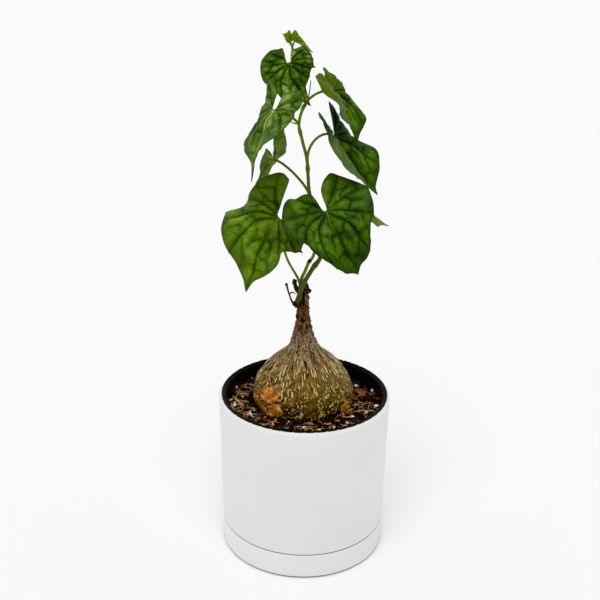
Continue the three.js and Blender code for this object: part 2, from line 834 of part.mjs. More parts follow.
// The nursery pot hangs by its lip on the ceramic rim
function linerSolid() {
  const { lipRadius, lipThick, topRadius, baseRadius, base, wall, knurls, drainRadius } = liner;
  const lip = pot.height;
  const geometry = turned(
    [
      [0, base],
      [baseRadius, base],
      [topRadius, lip],
      [lipRadius, lip],
      [lipRadius, lip + lipThick],
      [topRadius - wall + 0.4, lip + lipThick],
      [topRadius - wall, lip + lipThick - 0.5],
      [baseRadius - wall, base + wall],
      [0, base + wall],
    ],
    knurls * 2,
  );
  const place = geometry.attributes.position;
  for (let i = 0; i < place.count; i++) {
    const [x, y] = [place.getX(i), place.getY(i)];
    const radius = Math.hypot(x, y);
    const step = Math.round((Math.atan2(y, x) / Math.PI) * knurls);
    if (radius > lipRadius - 0.1 && step % 2 !== 0) {
      const scale = (radius - liner.knurlDepth) / radius;
      place.setXY(i, x * scale, y * scale);
    }
  }
  let solid = toSolid(geometry);
  for (let k = 0; k < 5; k++) {
    const turn = (k / 5) * 2 * Math.PI;
    const hole = new THREE.CylinderGeometry(drainRadius, drainRadius, 6, 12);
    hole.rotateX(Math.PI / 2);
    hole.translate(Math.cos(turn) * liner.drainCircle, Math.sin(turn) * liner.drainCircle, base);
    solid = solid.subtract(toSolid(hole));
  }
  return solid;
}

// A dry flake is a small curled sheet that follows the caudex
function flakeSolid({ turn, height, clear, curl }) {
  const across = 6;
  const upward = 5;
  const points = [];
  for (let i = 0; i <= across; i++) {
    for (let j = 0; j <= upward; j++) {
      const [u, v] = [i / across, j / upward];
      const rim = Math.abs(2 * u - 1) ** 2;
      const pinch = 1 - 0.35 * (2 * v - 1) ** 2;
      const z = mix(height[0], height[1], v) + 0.8 * Math.sin(5 * u);
      const away = clear + curl * rim * (0.4 + 0.6 * v) + 0.5 * (1 + Math.sin(7 * u + 4 * v));
      points.push(caudexPoint(z, mix(turn[0], turn[1], 0.5 + (u - 0.5) * pinch), away));
    }
  }
  const at = (i, j) => i * (upward + 1) + j;
  const triangles = [];
  for (let i = 0; i < across; i++) {
    for (let j = 0; j < upward; j++) {
      triangles.push(at(i, j), at(i + 1, j), at(i + 1, j + 1));
      triangles.push(at(i, j), at(i + 1, j + 1), at(i, j + 1));
    }
  }
  const edge = [];
  for (let i = 0; i < across; i++) edge.push(at(i, 0));
  for (let j = 0; j < upward; j++) edge.push(at(across, j));
  for (let i = across; i > 0; i--) edge.push(at(i, upward));
  for (let j = upward; j > 0; j--) edge.push(at(0, j));
  return toSolid(thicken(points, points.map(() => 0), triangles, edge, 0.6));
}

function vineSolid(extra) {
  let solid = toSolid(stem(vine.path, vine.radii, 8, 44, extra));
  tendrils.forEach((path) => {
    solid = solid.add(toSolid(stem(path, [tendrilRadius + extra, 0.3 + extra], 5, 6)));
  });
  return solid;
}

function shootSolid(extra) {
  const bud = lump(point(shoot.bud.at), shoot.bud.radius + extra, 0.9, 0.4);
  return toSolid(stem(shoot.path, shoot.radii, 8, 16, extra)).add(bud);
}

// The plant in its pot
const plant = new THREE.Group();

function addPart(name, solid, look) {
  const mesh = new THREE.Mesh(toGeometry(largest(solid)), new THREE.MeshStandardMaterial(look));
  mesh.name = name;
  plant.add(mesh);
}

const caudexRoom = caudexSolid(gap);
const vineRoom = vineSolid(gap);
const shootRoom = shootSolid(gap);

addPart("saucer", saucerSolid(), looks.ceramic);
addPart("ceramic_pot", potSolid(), looks.ceramic);
addPart("nursery_pot", linerSolid(), looks.blackPlastic);
addPart("soil", soilSolid(), looks.soilMix);
addPart("caudex", caudexWithWarts(), looks.caudexBark);
addPart("vine_stem", vineSolid(0).subtract(caudexRoom), looks.vineBark);
addPart("side_shoot", shootSolid(0).subtract(caudexRoom), looks.greenStem);
Object.entries(leaves).forEach(([name, leaf]) => {
  const solid = leafSolid(leaf).subtract(vineRoom).subtract(shootRoom).subtract(caudexRoom);
  addPart(name, solid, looks.leafGreen);
});
Object.entries(youngLeaves).forEach(([name, leaf]) => {
  addPart(name, leafSolid(youngLeaf(leaf)).subtract(vineRoom), looks.leafGreen);
});
Object.entries(flakes).forEach(([name, flake]) => {
  addPart(name, flakeSolid(flake), looks.dryLeaf);
});

export default plant;
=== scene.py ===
# Potted gerrardanthus macrorhizus: looks for the plant, its caudex, the mix and the pots
import math

import bpy
import numpy as np
from mathutils import Matrix, Vector


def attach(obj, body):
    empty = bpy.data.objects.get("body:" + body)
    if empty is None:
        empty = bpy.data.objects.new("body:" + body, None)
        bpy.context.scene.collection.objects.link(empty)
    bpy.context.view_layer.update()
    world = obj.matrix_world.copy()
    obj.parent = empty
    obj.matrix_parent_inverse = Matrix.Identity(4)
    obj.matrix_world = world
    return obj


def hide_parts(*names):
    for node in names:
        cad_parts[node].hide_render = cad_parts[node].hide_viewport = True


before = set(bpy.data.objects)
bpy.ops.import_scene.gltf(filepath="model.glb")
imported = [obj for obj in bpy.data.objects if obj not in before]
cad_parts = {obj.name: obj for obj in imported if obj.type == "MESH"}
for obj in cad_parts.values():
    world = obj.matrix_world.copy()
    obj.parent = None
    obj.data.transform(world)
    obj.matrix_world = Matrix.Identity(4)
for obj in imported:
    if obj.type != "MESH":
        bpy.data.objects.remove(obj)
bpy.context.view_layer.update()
mm = 0.001
mergeReach = 1e-6  # points nearer than this, in metres, are one
print("frame loaded")

# camera: what the photograph's lens sees, from the fit of the pot's rims
camera = {
    "lens": 63.0,
    "sensor": 36.0,
    "place": (-0.003865, -0.62578, 0.433475),
    "pitchDown": 22.38,
    "roll": 0.0143,
    "nearest": 0.01,
}


def addCamera():
    bpy.ops.object.camera_add(location=camera["place"])
    cam = bpy.context.object
    cam.data.lens = camera["lens"]
    cam.data.sensor_width = camera["sensor"]
    cam.data.clip_start = camera["nearest"]
    pitch = Matrix.Rotation(math.radians(90 - camera["pitchDown"]), 3, "X")
    turn = pitch @ Matrix.Rotation(camera["roll"], 3, "Z")
    cam.rotation_euler = turn.to_euler()
    bpy.context.scene.camera = cam


addCamera()


# small helpers
def srgb(code, alpha=1.0):
    parts = [int(code[i:i + 2], 16) / 255 for i in (1, 3, 5)]
    return tuple(c / 12.92 if c < 0.04045 else ((c + 0.055) / 1.055) ** 2.4 for c in parts) + (alpha,)


def ease(x):
    x = np.clip(x, 0, 1)
    return x * x * (3 - 2 * x)


def readPairs(pairs, at):
    places, values = zip(*pairs)
    return np.interp(at, places, values)


def unit(v):
    return v / np.linalg.norm(v)


# sets a node's inputs: a value, a hex colour, or another node or socket to link from
def wire(tree, node, links):
    for key, value in links.items():
        if isinstance(value, bpy.types.Node):
            value = next(s for s in value.outputs if s.enabled)
        if isinstance(value, bpy.types.NodeSocket):
            tree.links.new(value, node.inputs[key])
        else:
            node.inputs[key].default_value = srgb(value) if isinstance(value, str) else value


# adds a shader node; links holds its inputs, and stops fill a colour ramp with tones or grey levels
def addNode(tree, kind, links=None, stops=(), **settings):
    node = tree.nodes.new("ShaderNode" + kind)
    for key, value in settings.items():
        setattr(node, key, value)
    wire(tree, node, links or {})
    for _ in stops[2:]:
        node.color_ramp.elements.new(0.5)
    for element, (place, tone) in zip(node.color_ramp.elements if stops else (), stops):
        element.position = place
        element.color = srgb(tone) if isinstance(tone, str) else (tone, tone, tone, 1)
    return node


def newMaterial(name):
    mat = bpy.data.materials.new(name)
    mat.use_nodes = True
    tree = mat.node_tree
    spot = addNode(tree, "TexCoord").outputs["Object"]
    inMm = addNode(tree, "VectorMath", {0: spot, 1: (1000, 1000, 1000)}, operation="MULTIPLY")
    return mat, tree, tree.nodes["Principled BSDF"], inMm


# gives a material its colour and the relief of a pattern; strength is a share, depth in millimetres
def finishSkin(tree, shader, colour, pattern, strength, depth, sockets):
    bump = addNode(tree, "Bump", {"Height": pattern, "Strength": strength, "Distance": depth * mm})
    wire(tree, shader, {"Base Color": colour, "Normal": bump, **sockets})


def only(obj):
    bpy.ops.object.select_all(action="DESELECT")
    obj.select_set(True)
    bpy.context.view_layer.objects.active = obj


# a primitive to start a piece from, with everything else deselected
def begin(name, addPrimitive, **settings):
    bpy.ops.object.select_all(action="DESELECT")
    addPrimitive(**settings)
    bpy.context.object.name = name
    return bpy.context.object


def places(obj):
    co = np.empty(len(obj.data.vertices) * 3, np.float32)
    obj.data.vertices.foreach_get("co", co)
    return co.reshape(-1, 3).astype(float)


def setPlaces(obj, co):
    obj.data.vertices.foreach_set("co", np.asarray(co, np.float32).ravel())
    obj.data.update()


# one number, or three, for each point
def setAttribute(obj, name, values):
    values = np.asarray(values, np.float32)
    kind, key = ("FLOAT", "value") if values.ndim == 1 else ("FLOAT_VECTOR", "vector")
    obj.data.attributes.new(name, kind, "POINT").data.foreach_set(key, values.ravel())


def applyModifiers(obj):
    only(obj)
    for modifier in list(obj.modifiers):
        bpy.ops.object.modifier_apply(modifier=modifier.name)


def smoothByAngle(obj, degrees):
    only(obj)
    bpy.ops.object.shade_smooth_by_angle(angle=math.radians(degrees))


# a thin shape is given its wall, half to each side
def thicken(obj, thickness, **settings):
    sheet = obj.modifiers.new("thickness", "SOLIDIFY")
    sheet.thickness = thickness * mm
    sheet.offset = 0
    for key, value in settings.items():
        setattr(sheet, key, value)
    applyModifiers(obj)
    obj.data.shade_smooth()


def joinPieces(name, pieces):
    only(pieces[0])
    for piece in pieces:
        piece.select_set(True)
    bpy.ops.object.join()
    pieces[0].name = name
    return pieces[0]


def settle(obj, slot, *nodes):
    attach(obj, "root")
    if nodes:
        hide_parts(*nodes)
    return obj


# a smooth value field for shapes: a sum of seeded sine waves in a few directions
def swell(points, size, seed, waves=7):
    rng = np.random.default_rng(seed)
    total = np.zeros(len(points))
    for _ in range(waves):
        direction = unit(rng.normal(size=3))
        wave = rng.uniform(0.7, 1.5) * 2 * math.pi / size
        total += np.sin(points @ direction * wave + rng.uniform(0, 2 * math.pi))
    return total / math.sqrt(waves)


# a smooth run of evenly spaced points through a stem's route, with a twig's even bends
def routeThrough(path, count):
    p = np.array(path, float)
    p = np.vstack([2 * p[0] - p[1], p, 2 * p[-1] - p[-2]])
    run = []
    for i in range(len(p) - 3):
        p0, p1, p2, p3 = p[i:i + 4]
        t1 = np.linalg.norm(p1 - p0) ** 0.5
        t2 = t1 + np.linalg.norm(p2 - p1) ** 0.5
        t3 = t2 + np.linalg.norm(p3 - p2) ** 0.5
        for t in np.linspace(t1, t2, 24, endpoint=False):
            a1 = ((t1 - t) * p0 + t * p1) / t1
            a2 = ((t2 - t) * p1 + (t - t1) * p2) / (t2 - t1)
            a3 = ((t3 - t) * p2 + (t - t2) * p3) / (t3 - t2)
            b1 = ((t2 - t) * a1 + t * a2) / t2
            b2 = ((t3 - t) * a2 + (t - t1) * a3) / (t3 - t1)
            run.append(((t2 - t) * b1 + (t - t1) * b2) / (t2 - t1))
    run = np.array(run + [p[-2]])
    along = np.concatenate([[0], np.cumsum(np.linalg.norm(np.diff(run, axis=0), axis=1))])
    at = np.linspace(0, along[-1], count)
    return np.stack([np.interp(at, along, run[:, k]) for k in range(3)], 1)


# a round stem in millimetres: a curve with a bevel, its thickness read along it, made a mesh
def stemThrough(name, path, radii, count=60, sides=12, knots=()):
    run = routeThrough(path, count)
    share = np.linspace(0, 1, count)
    thick = np.interp(share, np.linspace(0, 1, len(radii)), radii)
    for place, size, width in knots:
        thick = thick * (1 + size * np.exp(-((share - place) / width) ** 2))
    line = begin(name, bpy.ops.curve.primitive_bezier_curve_add).data
    line.splines.clear()
    spline = line.splines.new("POLY")
    spline.points.add(count - 1)
    spline.points.foreach_set("co", np.c_[run * mm, np.ones(count)].ravel())
    spline.points.foreach_set("radius", thick * mm)
    line.bevel_depth = 1.0
    line.bevel_resolution = max(0, sides // 4 - 1)
    line.use_fill_caps = True
    only(bpy.context.object)
    bpy.ops.object.convert(target="MESH")
    stem = bpy.context.object
    bpy.ops.object.mode_set(mode="EDIT")
    bpy.ops.mesh.select_all(action="SELECT")
    bpy.ops.mesh.remove_doubles(threshold=mergeReach)
    bpy.ops.mesh.normals_make_consistent(inside=False)
    bpy.ops.object.mode_set(mode="OBJECT")
    stem.data.shade_smooth()
    return stem


# turned ware: a circle of points is drawn up and in, ring by ring, as a potter's profile
def turnUp(name, rings, sides, drained=False):
    radius, height = rings[0]
    ware = begin(
        name, bpy.ops.mesh.primitive_circle_add, vertices=sides, radius=radius * mm,
        fill_type="NOTHING" if drained else "NGON", location=(0, 0, height * mm))
    bpy.ops.object.mode_set(mode="EDIT")
    bpy.ops.mesh.select_all(action="SELECT")
    for nextRadius, nextHeight in rings[1:]:
        lift = {"value": (0, 0, (nextHeight - height) * mm)}
        bpy.ops.mesh.extrude_region_move(TRANSFORM_OT_translate=lift)
        scale = nextRadius / radius
        bpy.ops.transform.resize(value=(scale, scale, 1))
        radius, height = nextRadius, nextHeight
    bpy.ops.mesh.select_all(action="SELECT")
    if drained:
        bpy.ops.mesh.remove_doubles(threshold=mergeReach)
    bpy.ops.mesh.normals_make_consistent(inside=False)
    bpy.ops.object.mode_set(mode="OBJECT")
    bpy.ops.object.transform_apply(location=True, rotation=True, scale=True)
    return ware


# copies of a few modelled shapes, each turned, sized and set in its place, joined into one piece of the mix
def strew(name, shapes, spots, seed, skin):
    rng = np.random.default_rng(seed)
    points, faces, tones, start = [], [], [], 0
    for shape, spot, turn, size in spots:
        base = shapes[shape]
        co = (places(base) * size) @ np.array(turn.to_matrix()).T + np.array(spot) * mm
        points.append(co)
        tones.append(np.full(len(co), rng.uniform()))
        faces += [tuple(v + start for v in polygon.vertices) for polygon in base.data.polygons]
        start += len(co)
    for base in shapes:
        bpy.data.objects.remove(base)
    mesh = bpy.data.meshes.new(name)
    mesh.from_pydata([tuple(p) for p in np.vstack(points)], [], faces)
    mesh.shade_smooth()
    mesh.materials.append(skin)
    piece = bpy.data.objects.new(name, mesh)
    bpy.context.scene.collection.objects.link(piece)
    setAttribute(piece, "tone", np.concatenate(tones))
    settle(piece, "soil_mix")


def randomTurn(rng, flat=None):
    if flat is not None:
        level = Matrix.Rotation(rng.uniform(-flat, flat), 3, "Y")
        return (Matrix.Rotation(rng.uniform(0, 2 * math.pi), 3, "Z") @ level).to_quaternion()
    axis = Vector(rng.normal(size=3)).normalized()
    return Matrix.Rotation(rng.uniform(0, 2 * math.pi), 3, axis).to_quaternion()


# white stoneware, slip cast and dipped in a matt glaze: even, with a broad soft sheen; a grey line at the
# foot is bare clay and painted contact shadow, and a grey band in the joint is dust and painted shadow, both
# given by height in millimetres
glaze = {
    "pools": [(0.35, "#ecebeb"), (0.7, "#e9e8e8")],
    "poolSize": 40,
    "ripple": 6,
    # grey bands by height: bare clay and dust, with painted contact shadow at the foot and painted shadow in
    # the joint
    "bands": [(0.9, "#6e655f"), (1.2, "#ffffff"), (17.78, "#ffffff"), (17.94, "#6e655f"), (18.38, "#6e655f"),
              (18.54, "#ffffff")],
    "bandsTo": 20,
}


def matteGlaze():
    mat, tree, shader, inMm = newMaterial("matteWhiteGlaze")
    pools = addNode(tree, "TexNoise", {"Vector": inMm, "Scale": 1 / glaze["poolSize"], "Detail": 2.0})
    colour = addNode(tree, "ValToRGB", {"Fac": pools}, glaze["pools"])
    height = addNode(tree, "SeparateXYZ", {0: inMm}).outputs["Z"]
    level = addNode(tree, "Math", {0: height, 1: glaze["bandsTo"]}, operation="DIVIDE")
    bands = [(place / glaze["bandsTo"], tone) for place, tone in glaze["bands"]]
    # the grey bands, bare clay and dust with painted shadow, multiplied over the glaze
    bareClayDustAndShadow = addNode(tree, "ValToRGB", {"Fac": level}, bands)
    colour = addNode(tree, "Mix", {0: 1.0, 6: colour, 7: bareClayDustAndShadow}, data_type="RGBA", blend_type="MULTIPLY")
    ripples = addNode(tree, "TexNoise", {"Vector": inMm, "Scale": 1 / glaze["ripple"], "Detail": 1.0})
    finishSkin(tree, shader, colour, ripples, 0.1, 0.3, {"Roughness": 0.45, "IOR": 1.5})
    return mat


# the pot and its saucer are turned: radius and height in millimetres, up the outside and down the inside
turned = {
    "saucer": [(53.8, 0), (54, 0.7), (55.1, 1.2), (55.1, 18), (51.1, 18), (51.1, 4), (30, 4)],
    "pot": [(7, 4), (49.6, 4), (49.6, 18.3), (55.1, 18.3), (56.95, 107.2), (56.75, 108.2), (56.2, 108.95),
            (55.3, 109.3), (53, 109.3), (51.1, 26.3), (45.4, 22.3), (45.4, 8.2), (7, 8.2), (7, 4)],
    "edge": 0.4,
    "edgeSteps": 4,
    "sharpFrom": 50,
    "smoothTo": 40,
    "sides": 160,
}


def makeWare(name, rings, node, skin, drained=False):
    ware = turnUp(name, rings, turned["sides"], drained)
    bevel = ware.modifiers.new("edges", "BEVEL")
    bevel.width = turned["edge"] * mm
    bevel.segments = turned["edgeSteps"]
    bevel.limit_method = "ANGLE"
    bevel.angle_limit = math.radians(turned["sharpFrom"])
    applyModifiers(ware)
    smoothByAngle(ware, turned["smoothTo"])
    ware.data.materials.append(skin)
    settle(ware, "ceramic", node)


whiteGlaze = matteGlaze()
makeWare("saucer_turned", turned["saucer"], "saucer", whiteGlaze)
makeWare("pot_turned", turned["pot"], "ceramic_pot", whiteGlaze, drained=True)
print("pot and saucer turned")


# the nursery pot: injection-moulded black polypropylene, satin and a little dusty, with a notched lip
nurseryPot = {
    "rings": [(40, 12.5), (52.4, 109.3), (55.2, 109.3), (55.2, 110.1), (54.9, 110.5), (54.3, 110.4),
              (53, 109), (51.8, 106.6), (38.9, 13.6), (10, 13.6)],
    "sides": 960,
    "ribs": 48,
    "notch": 0.9,
    "notchWidth": 0.055,
    "notchedFrom": 54.8,
    "drains": 5,
    "drainCircle": 27,
    "drainRadius": 4,
    "drainDepth": 6,
    "smoothTo": 35,
    "tones": [(0.52, "#020202"), (0.8, "#0c0b09")],
    "dustSize": 2.5,
    "grainSize": 2 / 3,
}


def blackPolypropylene():
    mat, tree, shader, inMm = newMaterial("blackPolypropylene")
    dust = addNode(tree, "TexNoise", {
        "Vector": inMm, "Scale": 1 / nurseryPot["dustSize"], "Detail": 4.0, "Roughness": 0.7})
    colour = addNode(tree, "ValToRGB", {"Fac": dust}, nurseryPot["tones"])
    grain = addNode(tree, "TexNoise", {"Vector": inMm, "Scale": 1 / nurseryPot["grainSize"], "Detail": 2.0})
    rough = addNode(tree, "MapRange", {"Value": dust, "To Min": 0.3, "To Max": 0.6})
    finishSkin(tree, shader, colour, grain, 0.2, 0.2, {"Roughness": rough, "Specular IOR Level": 0.06})
    return mat


def makeNurseryPot():
    pot = turnUp("nursery_pot_moulded", nurseryPot["rings"], nurseryPot["sides"])
    co = places(pot)
    radius = np.hypot(co[:, 0], co[:, 1])
    turn = np.arctan2(co[:, 1], co[:, 0])
    phase = (turn / (2 * math.pi) * nurseryPot["ribs"] + 0.5) % 1 - 0.5
    notch = np.exp(-(phase / nurseryPot["notchWidth"]) ** 2) * nurseryPot["notch"] * mm
    lip = radius > nurseryPot["notchedFrom"] * mm
    co[lip, :2] *= (1 - notch[lip] / radius[lip])[:, None]
    setPlaces(pot, co)
    cutters = []
    reach, height = nurseryPot["drainCircle"] * mm, nurseryPot["rings"][0][1] * mm
    for k in range(nurseryPot["drains"]):
        turn = k / nurseryPot["drains"] * 2 * math.pi
        cutters.append(begin(
            "drain%d" % k, bpy.ops.mesh.primitive_cylinder_add, vertices=24,
            radius=nurseryPot["drainRadius"] * mm, depth=nurseryPot["drainDepth"] * mm,
            location=(math.cos(turn) * reach, math.sin(turn) * reach, height)))
    cutter = joinPieces("drainCutter", cutters)
    cut = pot.modifiers.new("drains", "BOOLEAN")
    cut.operation = "DIFFERENCE"
    cut.object = cutter
    applyModifiers(pot)
    bpy.data.objects.remove(cutter)
    smoothByAngle(pot, nurseryPot["smoothTo"])
    pot.data.materials.append(blackPolypropylene())
    settle(pot, "black_plastic", "nursery_pot")


makeNurseryPot()
print("nursery pot moulded")


# the caudex: a swollen, corky stem base, its heights and radii as in the solid
caudex = {
    "axis": (-0.9, 4.0),
    "lean": (-1.2, -0.5),
    "span": (83.2, 187.8),
    "profile": [(84, 9), (87, 17), (92, 25), (98, 30.6), (105, 33.3), (112, 33.2), (119, 30.6), (127, 25.2),
                (134, 17.6), (139, 11.8), (143, 9), (147, 7.2), (152, 5.6), (160, 4.2), (168, 3.5),
                (176, 3.4), (183, 3.2), (187, 2.2)],
    "ribs": 9,
    "ribHeight": 0.9,
    "flutes": 13,
    "fineRidges": 42,
    "warts": 16,
    "wartBand": (106, 134),
    "pitRows": 14,
    "pitTop": (146, 158),
    "pitFoot": (126, 135),
    "pitGap": (2.0, 2.8),
    "pitReach": (0.45, 0.8),
    "collar": (-4.7, 0.9, 172.4),
    "scar": (-2, 0.1, 161.6),
    "columns": 300,
    "rows": 250,
}


def caudexRadius(z, turn):
    heights = np.linspace(78, 194, 465)
    soft = np.exp(-(np.arange(-16, 17) / 7.0) ** 2)
    girth = np.pad(readPairs(caudex["profile"], heights), 16, mode="edge")
    girth = np.interp(z, heights, np.convolve(girth, soft / soft.sum(), mode="valid"))
    ribbed = ease((z - 122) / 16) * (0.35 + 0.65 * ease((178 - z) / 30))
    rib = np.abs(np.cos(caudex["ribs"] * turn / 2 + np.sin(z / 9) * 0.25)) - 0.5
    lumps = np.sin(3 * turn + z / 7) * 0.35 + np.sin(7 * turn - z / 3.1) * 0.25
    neck = ease((z - 130) / 20)
    return girth + rib * caudex["ribHeight"] * ribbed * (1 - 0.55 * neck) + lumps * (1 - neck)


def caudexPoint(z, turn, extra=0.0):
    z, turn = np.asarray(z, float), np.asarray(turn, float)
    leaning = ease((z - 130) / 50)
    radius = caudexRadius(z, turn) + extra
    x = caudex["axis"][0] + caudex["lean"][0] * leaning + np.cos(turn) * radius
    y = caudex["axis"][1] + caudex["lean"][1] * leaning + np.sin(turn) * radius
    return np.stack([x, y, z + 0 * turn], -1)


def sameDraws(seed):  # the same repeatable numbers as the solid's warts take
    while True:
        seed = (seed * 1664525 + 1013904223) % 4294967296
        yield seed / 4294967296


# living cork over green skin: olive gold belly, tan shoulder, brown neck, all split lengthwise into pale
# ridges with dark marks between them that are painted shadow and shade; darker where it meets the mix, as
# painted shade. Sizes are in millimetres
corkSkin = {
    # the darkest tones, at the caudex's foot, are painted shade where it meets the mix
    "heights": [(0.08, "#140600"), (0.17, "#200e02"), (0.24, "#482a04"), (0.33, "#6e4e06"), (0.43, "#856618"),
                (0.5, "#8e6c2e"), (0.58, "#8c5e30"), (0.7, "#784420"), (0.85, "#9a5c2e"), (1.0, "#4e2410")],
    "span": (84, 188),
    "drift": 26,
    "stain": "#bc6a04",
    "moss": "#6c6810",
    "ridge": "#fae0a4",
    "fleck": "#f0c868",
    # the dark of the painted shadows beside the dashes and of the painted shade in the splits
    "gap": "#0c0401",
    "wound": "#b4581a",
    "ring": "#ecc296",
    # the dark of the pits, the scar's hole and the streak beside the vine: painted shade
    "hollowShade": "#0a0402",
    "blotch": 11,
    "mottle": 3.2,
    "clump": 6,
    "longDash": (1.5, 4.6),
    "longOn": [(0.26, 0.0), (0.36, 0.85), (0.46, 1.0), (0.6, 0.9), (0.8, 0.5)],
    "shortDash": (1.25, 1.9),
    "shortOn": [(0.04, 0.6), (0.14, 0.95), (0.34, 0.8), (0.5, 0.2)],
    # the grain is laid out as round a straight cylinder of this radius
    "girth": 33,
    "strand": 3.0,
    "strandStretch": 0.53625,
    "strandsOn": [(0.3, 0.15), (0.45, 0.3), (0.56, 0.6), (0.7, 1.0)],
    # each patch: its centre, its reach and soft edge, and how much it covers
    "mossAt": ((10, -24, 114), 18, 14, 0.22),
    "stainAt": ((-28, -14, 103), 14, 8, 0.9),
    "woundAt": ((-1.2, -0.6, 160.8), 3.6, 1.2, 1.0),
    "ragged": 18,
}


def corkMaterial():
    mat, tree, shader, inMm = newMaterial("corkyCaudexSkin")
    grain = addNode(tree, "Attribute", attribute_name="grain").outputs["Vector"]
    marked = addNode(tree, "Attribute", attribute_name="holes").outputs["Vector"]
    holes = addNode(tree, "SeparateXYZ", {0: marked}).outputs
    height = addNode(tree, "SeparateXYZ", {0: inMm}).outputs["Z"]
    noises = []
    for size, detail in (("blotch", 4.0), ("mottle", 4.0), ("clump", 2.0)):
        noises.append(addNode(tree, "TexNoise", {
            "Vector": inMm, "Scale": 1 / corkSkin[size], "Detail": detail}))
    blotch, mottled, clumps = noises
    drift = corkSkin["drift"]
    low, high = (z + drift / 2 for z in corkSkin["span"])
    level = addNode(tree, "Math", {0: blotch, 1: drift, 2: height}, operation="MULTIPLY_ADD")
    share = addNode(tree, "MapRange", {"Value": level, "From Min": low, "From Max": high})
    colour = addNode(tree, "ValToRGB", {"Fac": share}, corkSkin["heights"])

    # a ragged patch round a point
    def patch(centre, reach, soft, most):
        far = addNode(tree, "VectorMath", {0: inMm, 1: centre}, operation="DISTANCE")
        ragged = addNode(tree, "Math", {0: blotch, 1: -corkSkin["ragged"], 2: far}, operation="MULTIPLY_ADD")
        edge = reach - corkSkin["ragged"] / 2
        return addNode(tree, "MapRange", {
            "Value": ragged, "From Min": edge, "From Max": edge - soft, "To Max": most})

    # a mossy cast on the belly's front right, an orange stain at its left foot, torn cork round the scar
    moss, stain, wound = (patch(*corkSkin[place]) for place in ("mossAt", "stainAt", "woundAt"))
    for cover, tone in ((moss, "moss"), (stain, "stain")):
        colour = addNode(tree, "Mix", {0: cover, 6: colour, 7: corkSkin[tone]}, data_type="RGBA")
    shade = addNode(tree, "ValToRGB", {"Fac": mottled}, [(0.32, 0.55), (0.5, 0.92), (0.68, 1.25)])
    colour = addNode(tree, "Mix", {0: 0.85, 6: colour, 7: shade}, data_type="RGBA", blend_type="MULTIPLY")
    size = addNode(tree, "MapRange", {
        "Value": clumps, "From Min": 0.36, "From Max": 0.62, "To Min": 0.28, "To Max": 0.56})

    # lengthwise dashes: each is a pale ridge of lifted cork, with a shifted dark copy at its side that is its
    # painted shadow, sunk a little in the relief
    def dashes(wide, long, zone):
        spread = addNode(tree, "VectorMath", {0: grain, 1: (wide, wide, long)}, operation="DIVIDE")
        bends = addNode(tree, "TexNoise", {"Vector": spread, "Scale": 1.4, "Detail": 2.0})
        spread = addNode(tree, "VectorMath", {0: bends.outputs["Color"], 1: (1.0, 1.0, 0.7), 2: spread},
                         operation="MULTIPLY_ADD")
        cover = addNode(tree, "ValToRGB", {"Fac": share}, zone)
        cover = addNode(tree, "Math", {0: size, 1: cover}, operation="MULTIPLY")
        marks = []
        # the dash, then a shifted, slightly bigger copy of it, which is painted as its shadow
        for shift, wider in (((0, 0, 0), 0.0), ((0.26, 0.22, 0.14), -0.07)):
            moved = addNode(tree, "VectorMath", {0: spread, 1: shift}, operation="ADD")
            cells = addNode(tree, "TexVoronoi", {"Vector": moved, "Scale": 1.0})
            inside = addNode(tree, "Math", {0: cover, 1: cells}, operation="SUBTRACT")
            marks.append(addNode(tree, "MapRange", {
                "Value": inside, "From Min": wider, "From Max": wider + 0.06}))
        return marks

    longRidge, longShadow = dashes(*corkSkin["longDash"], corkSkin["longOn"])
    shortRidge, shortShadow = dashes(*corkSkin["shortDash"], corkSkin["shortOn"])
    # the neck is split into long strands, which follow the flutes that are modelled in it; the sunk splits
    # between them are darkened as painted shade
    drawn = (1, 1, corkSkin["strandStretch"])
    drawn = addNode(tree, "VectorMath", {0: grain, 1: drawn}, operation="MULTIPLY")
    strands = addNode(tree, "TexNoise", {
        "Vector": drawn, "Scale": 1 / corkSkin["strand"], "Detail": 3.0, "Roughness": 0.6, "Distortion": 0.3})
    split = addNode(tree, "Math", {0: strands, 1: -0.5}, operation="ADD")
    onNeck = addNode(tree, "ValToRGB", {"Fac": share}, corkSkin["strandsOn"])
    for factor in (onNeck, 7.0):
        split = addNode(tree, "Math", {0: split, 1: factor}, operation="MULTIPLY")
    split = addNode(tree, "Math", {0: holes["Z"], 1: 0.25, 2: split}, operation="MULTIPLY_ADD")
    # dark in the sunk splits: painted shade
    sunk = addNode(tree, "MapRange", {"Value": split, "From Min": -0.12, "From Max": -0.4, "To Max": 1.0})
    raised = addNode(tree, "MapRange", {"Value": split, "From Min": 0.2, "From Max": 0.8, "To Max": 0.55})
    relief = addNode(tree, "Math", {0: mottled, 1: 0.8, 2: split}, operation="MULTIPLY_ADD")
    # one mark over the other: where it lies, its tone, how much it covers and how far it stands out
    for mark, tone, most, high in (
            (sunk, "gap", 1.0, 0.0), (shortShadow, "gap", 0.8, -0.3), (longShadow, "gap", 0.9, -0.5),
            (raised, "ring", 1.0, 0.0), (shortRidge, "fleck", 0.95, 0.5), (longRidge, "ridge", 0.85, 0.7),
            (wound, "wound", 0.85, 0.0), (holes["Y"], "ring", 1.0, 0.0),
            (holes["X"], "hollowShade", 1.0, 0.0)):
        cover = addNode(tree, "Math", {0: mark, 1: most}, operation="MULTIPLY")
        colour = addNode(tree, "Mix", {0: cover, 6: colour, 7: corkSkin[tone]}, data_type="RGBA")
        if high:
            relief = addNode(tree, "Math", {0: mark, 1: high, 2: relief}, operation="MULTIPLY_ADD")
    finishSkin(tree, shader, colour, relief, 0.8, 0.9, {"Roughness": 0.45, "Specular IOR Level": 0.08})
    return mat


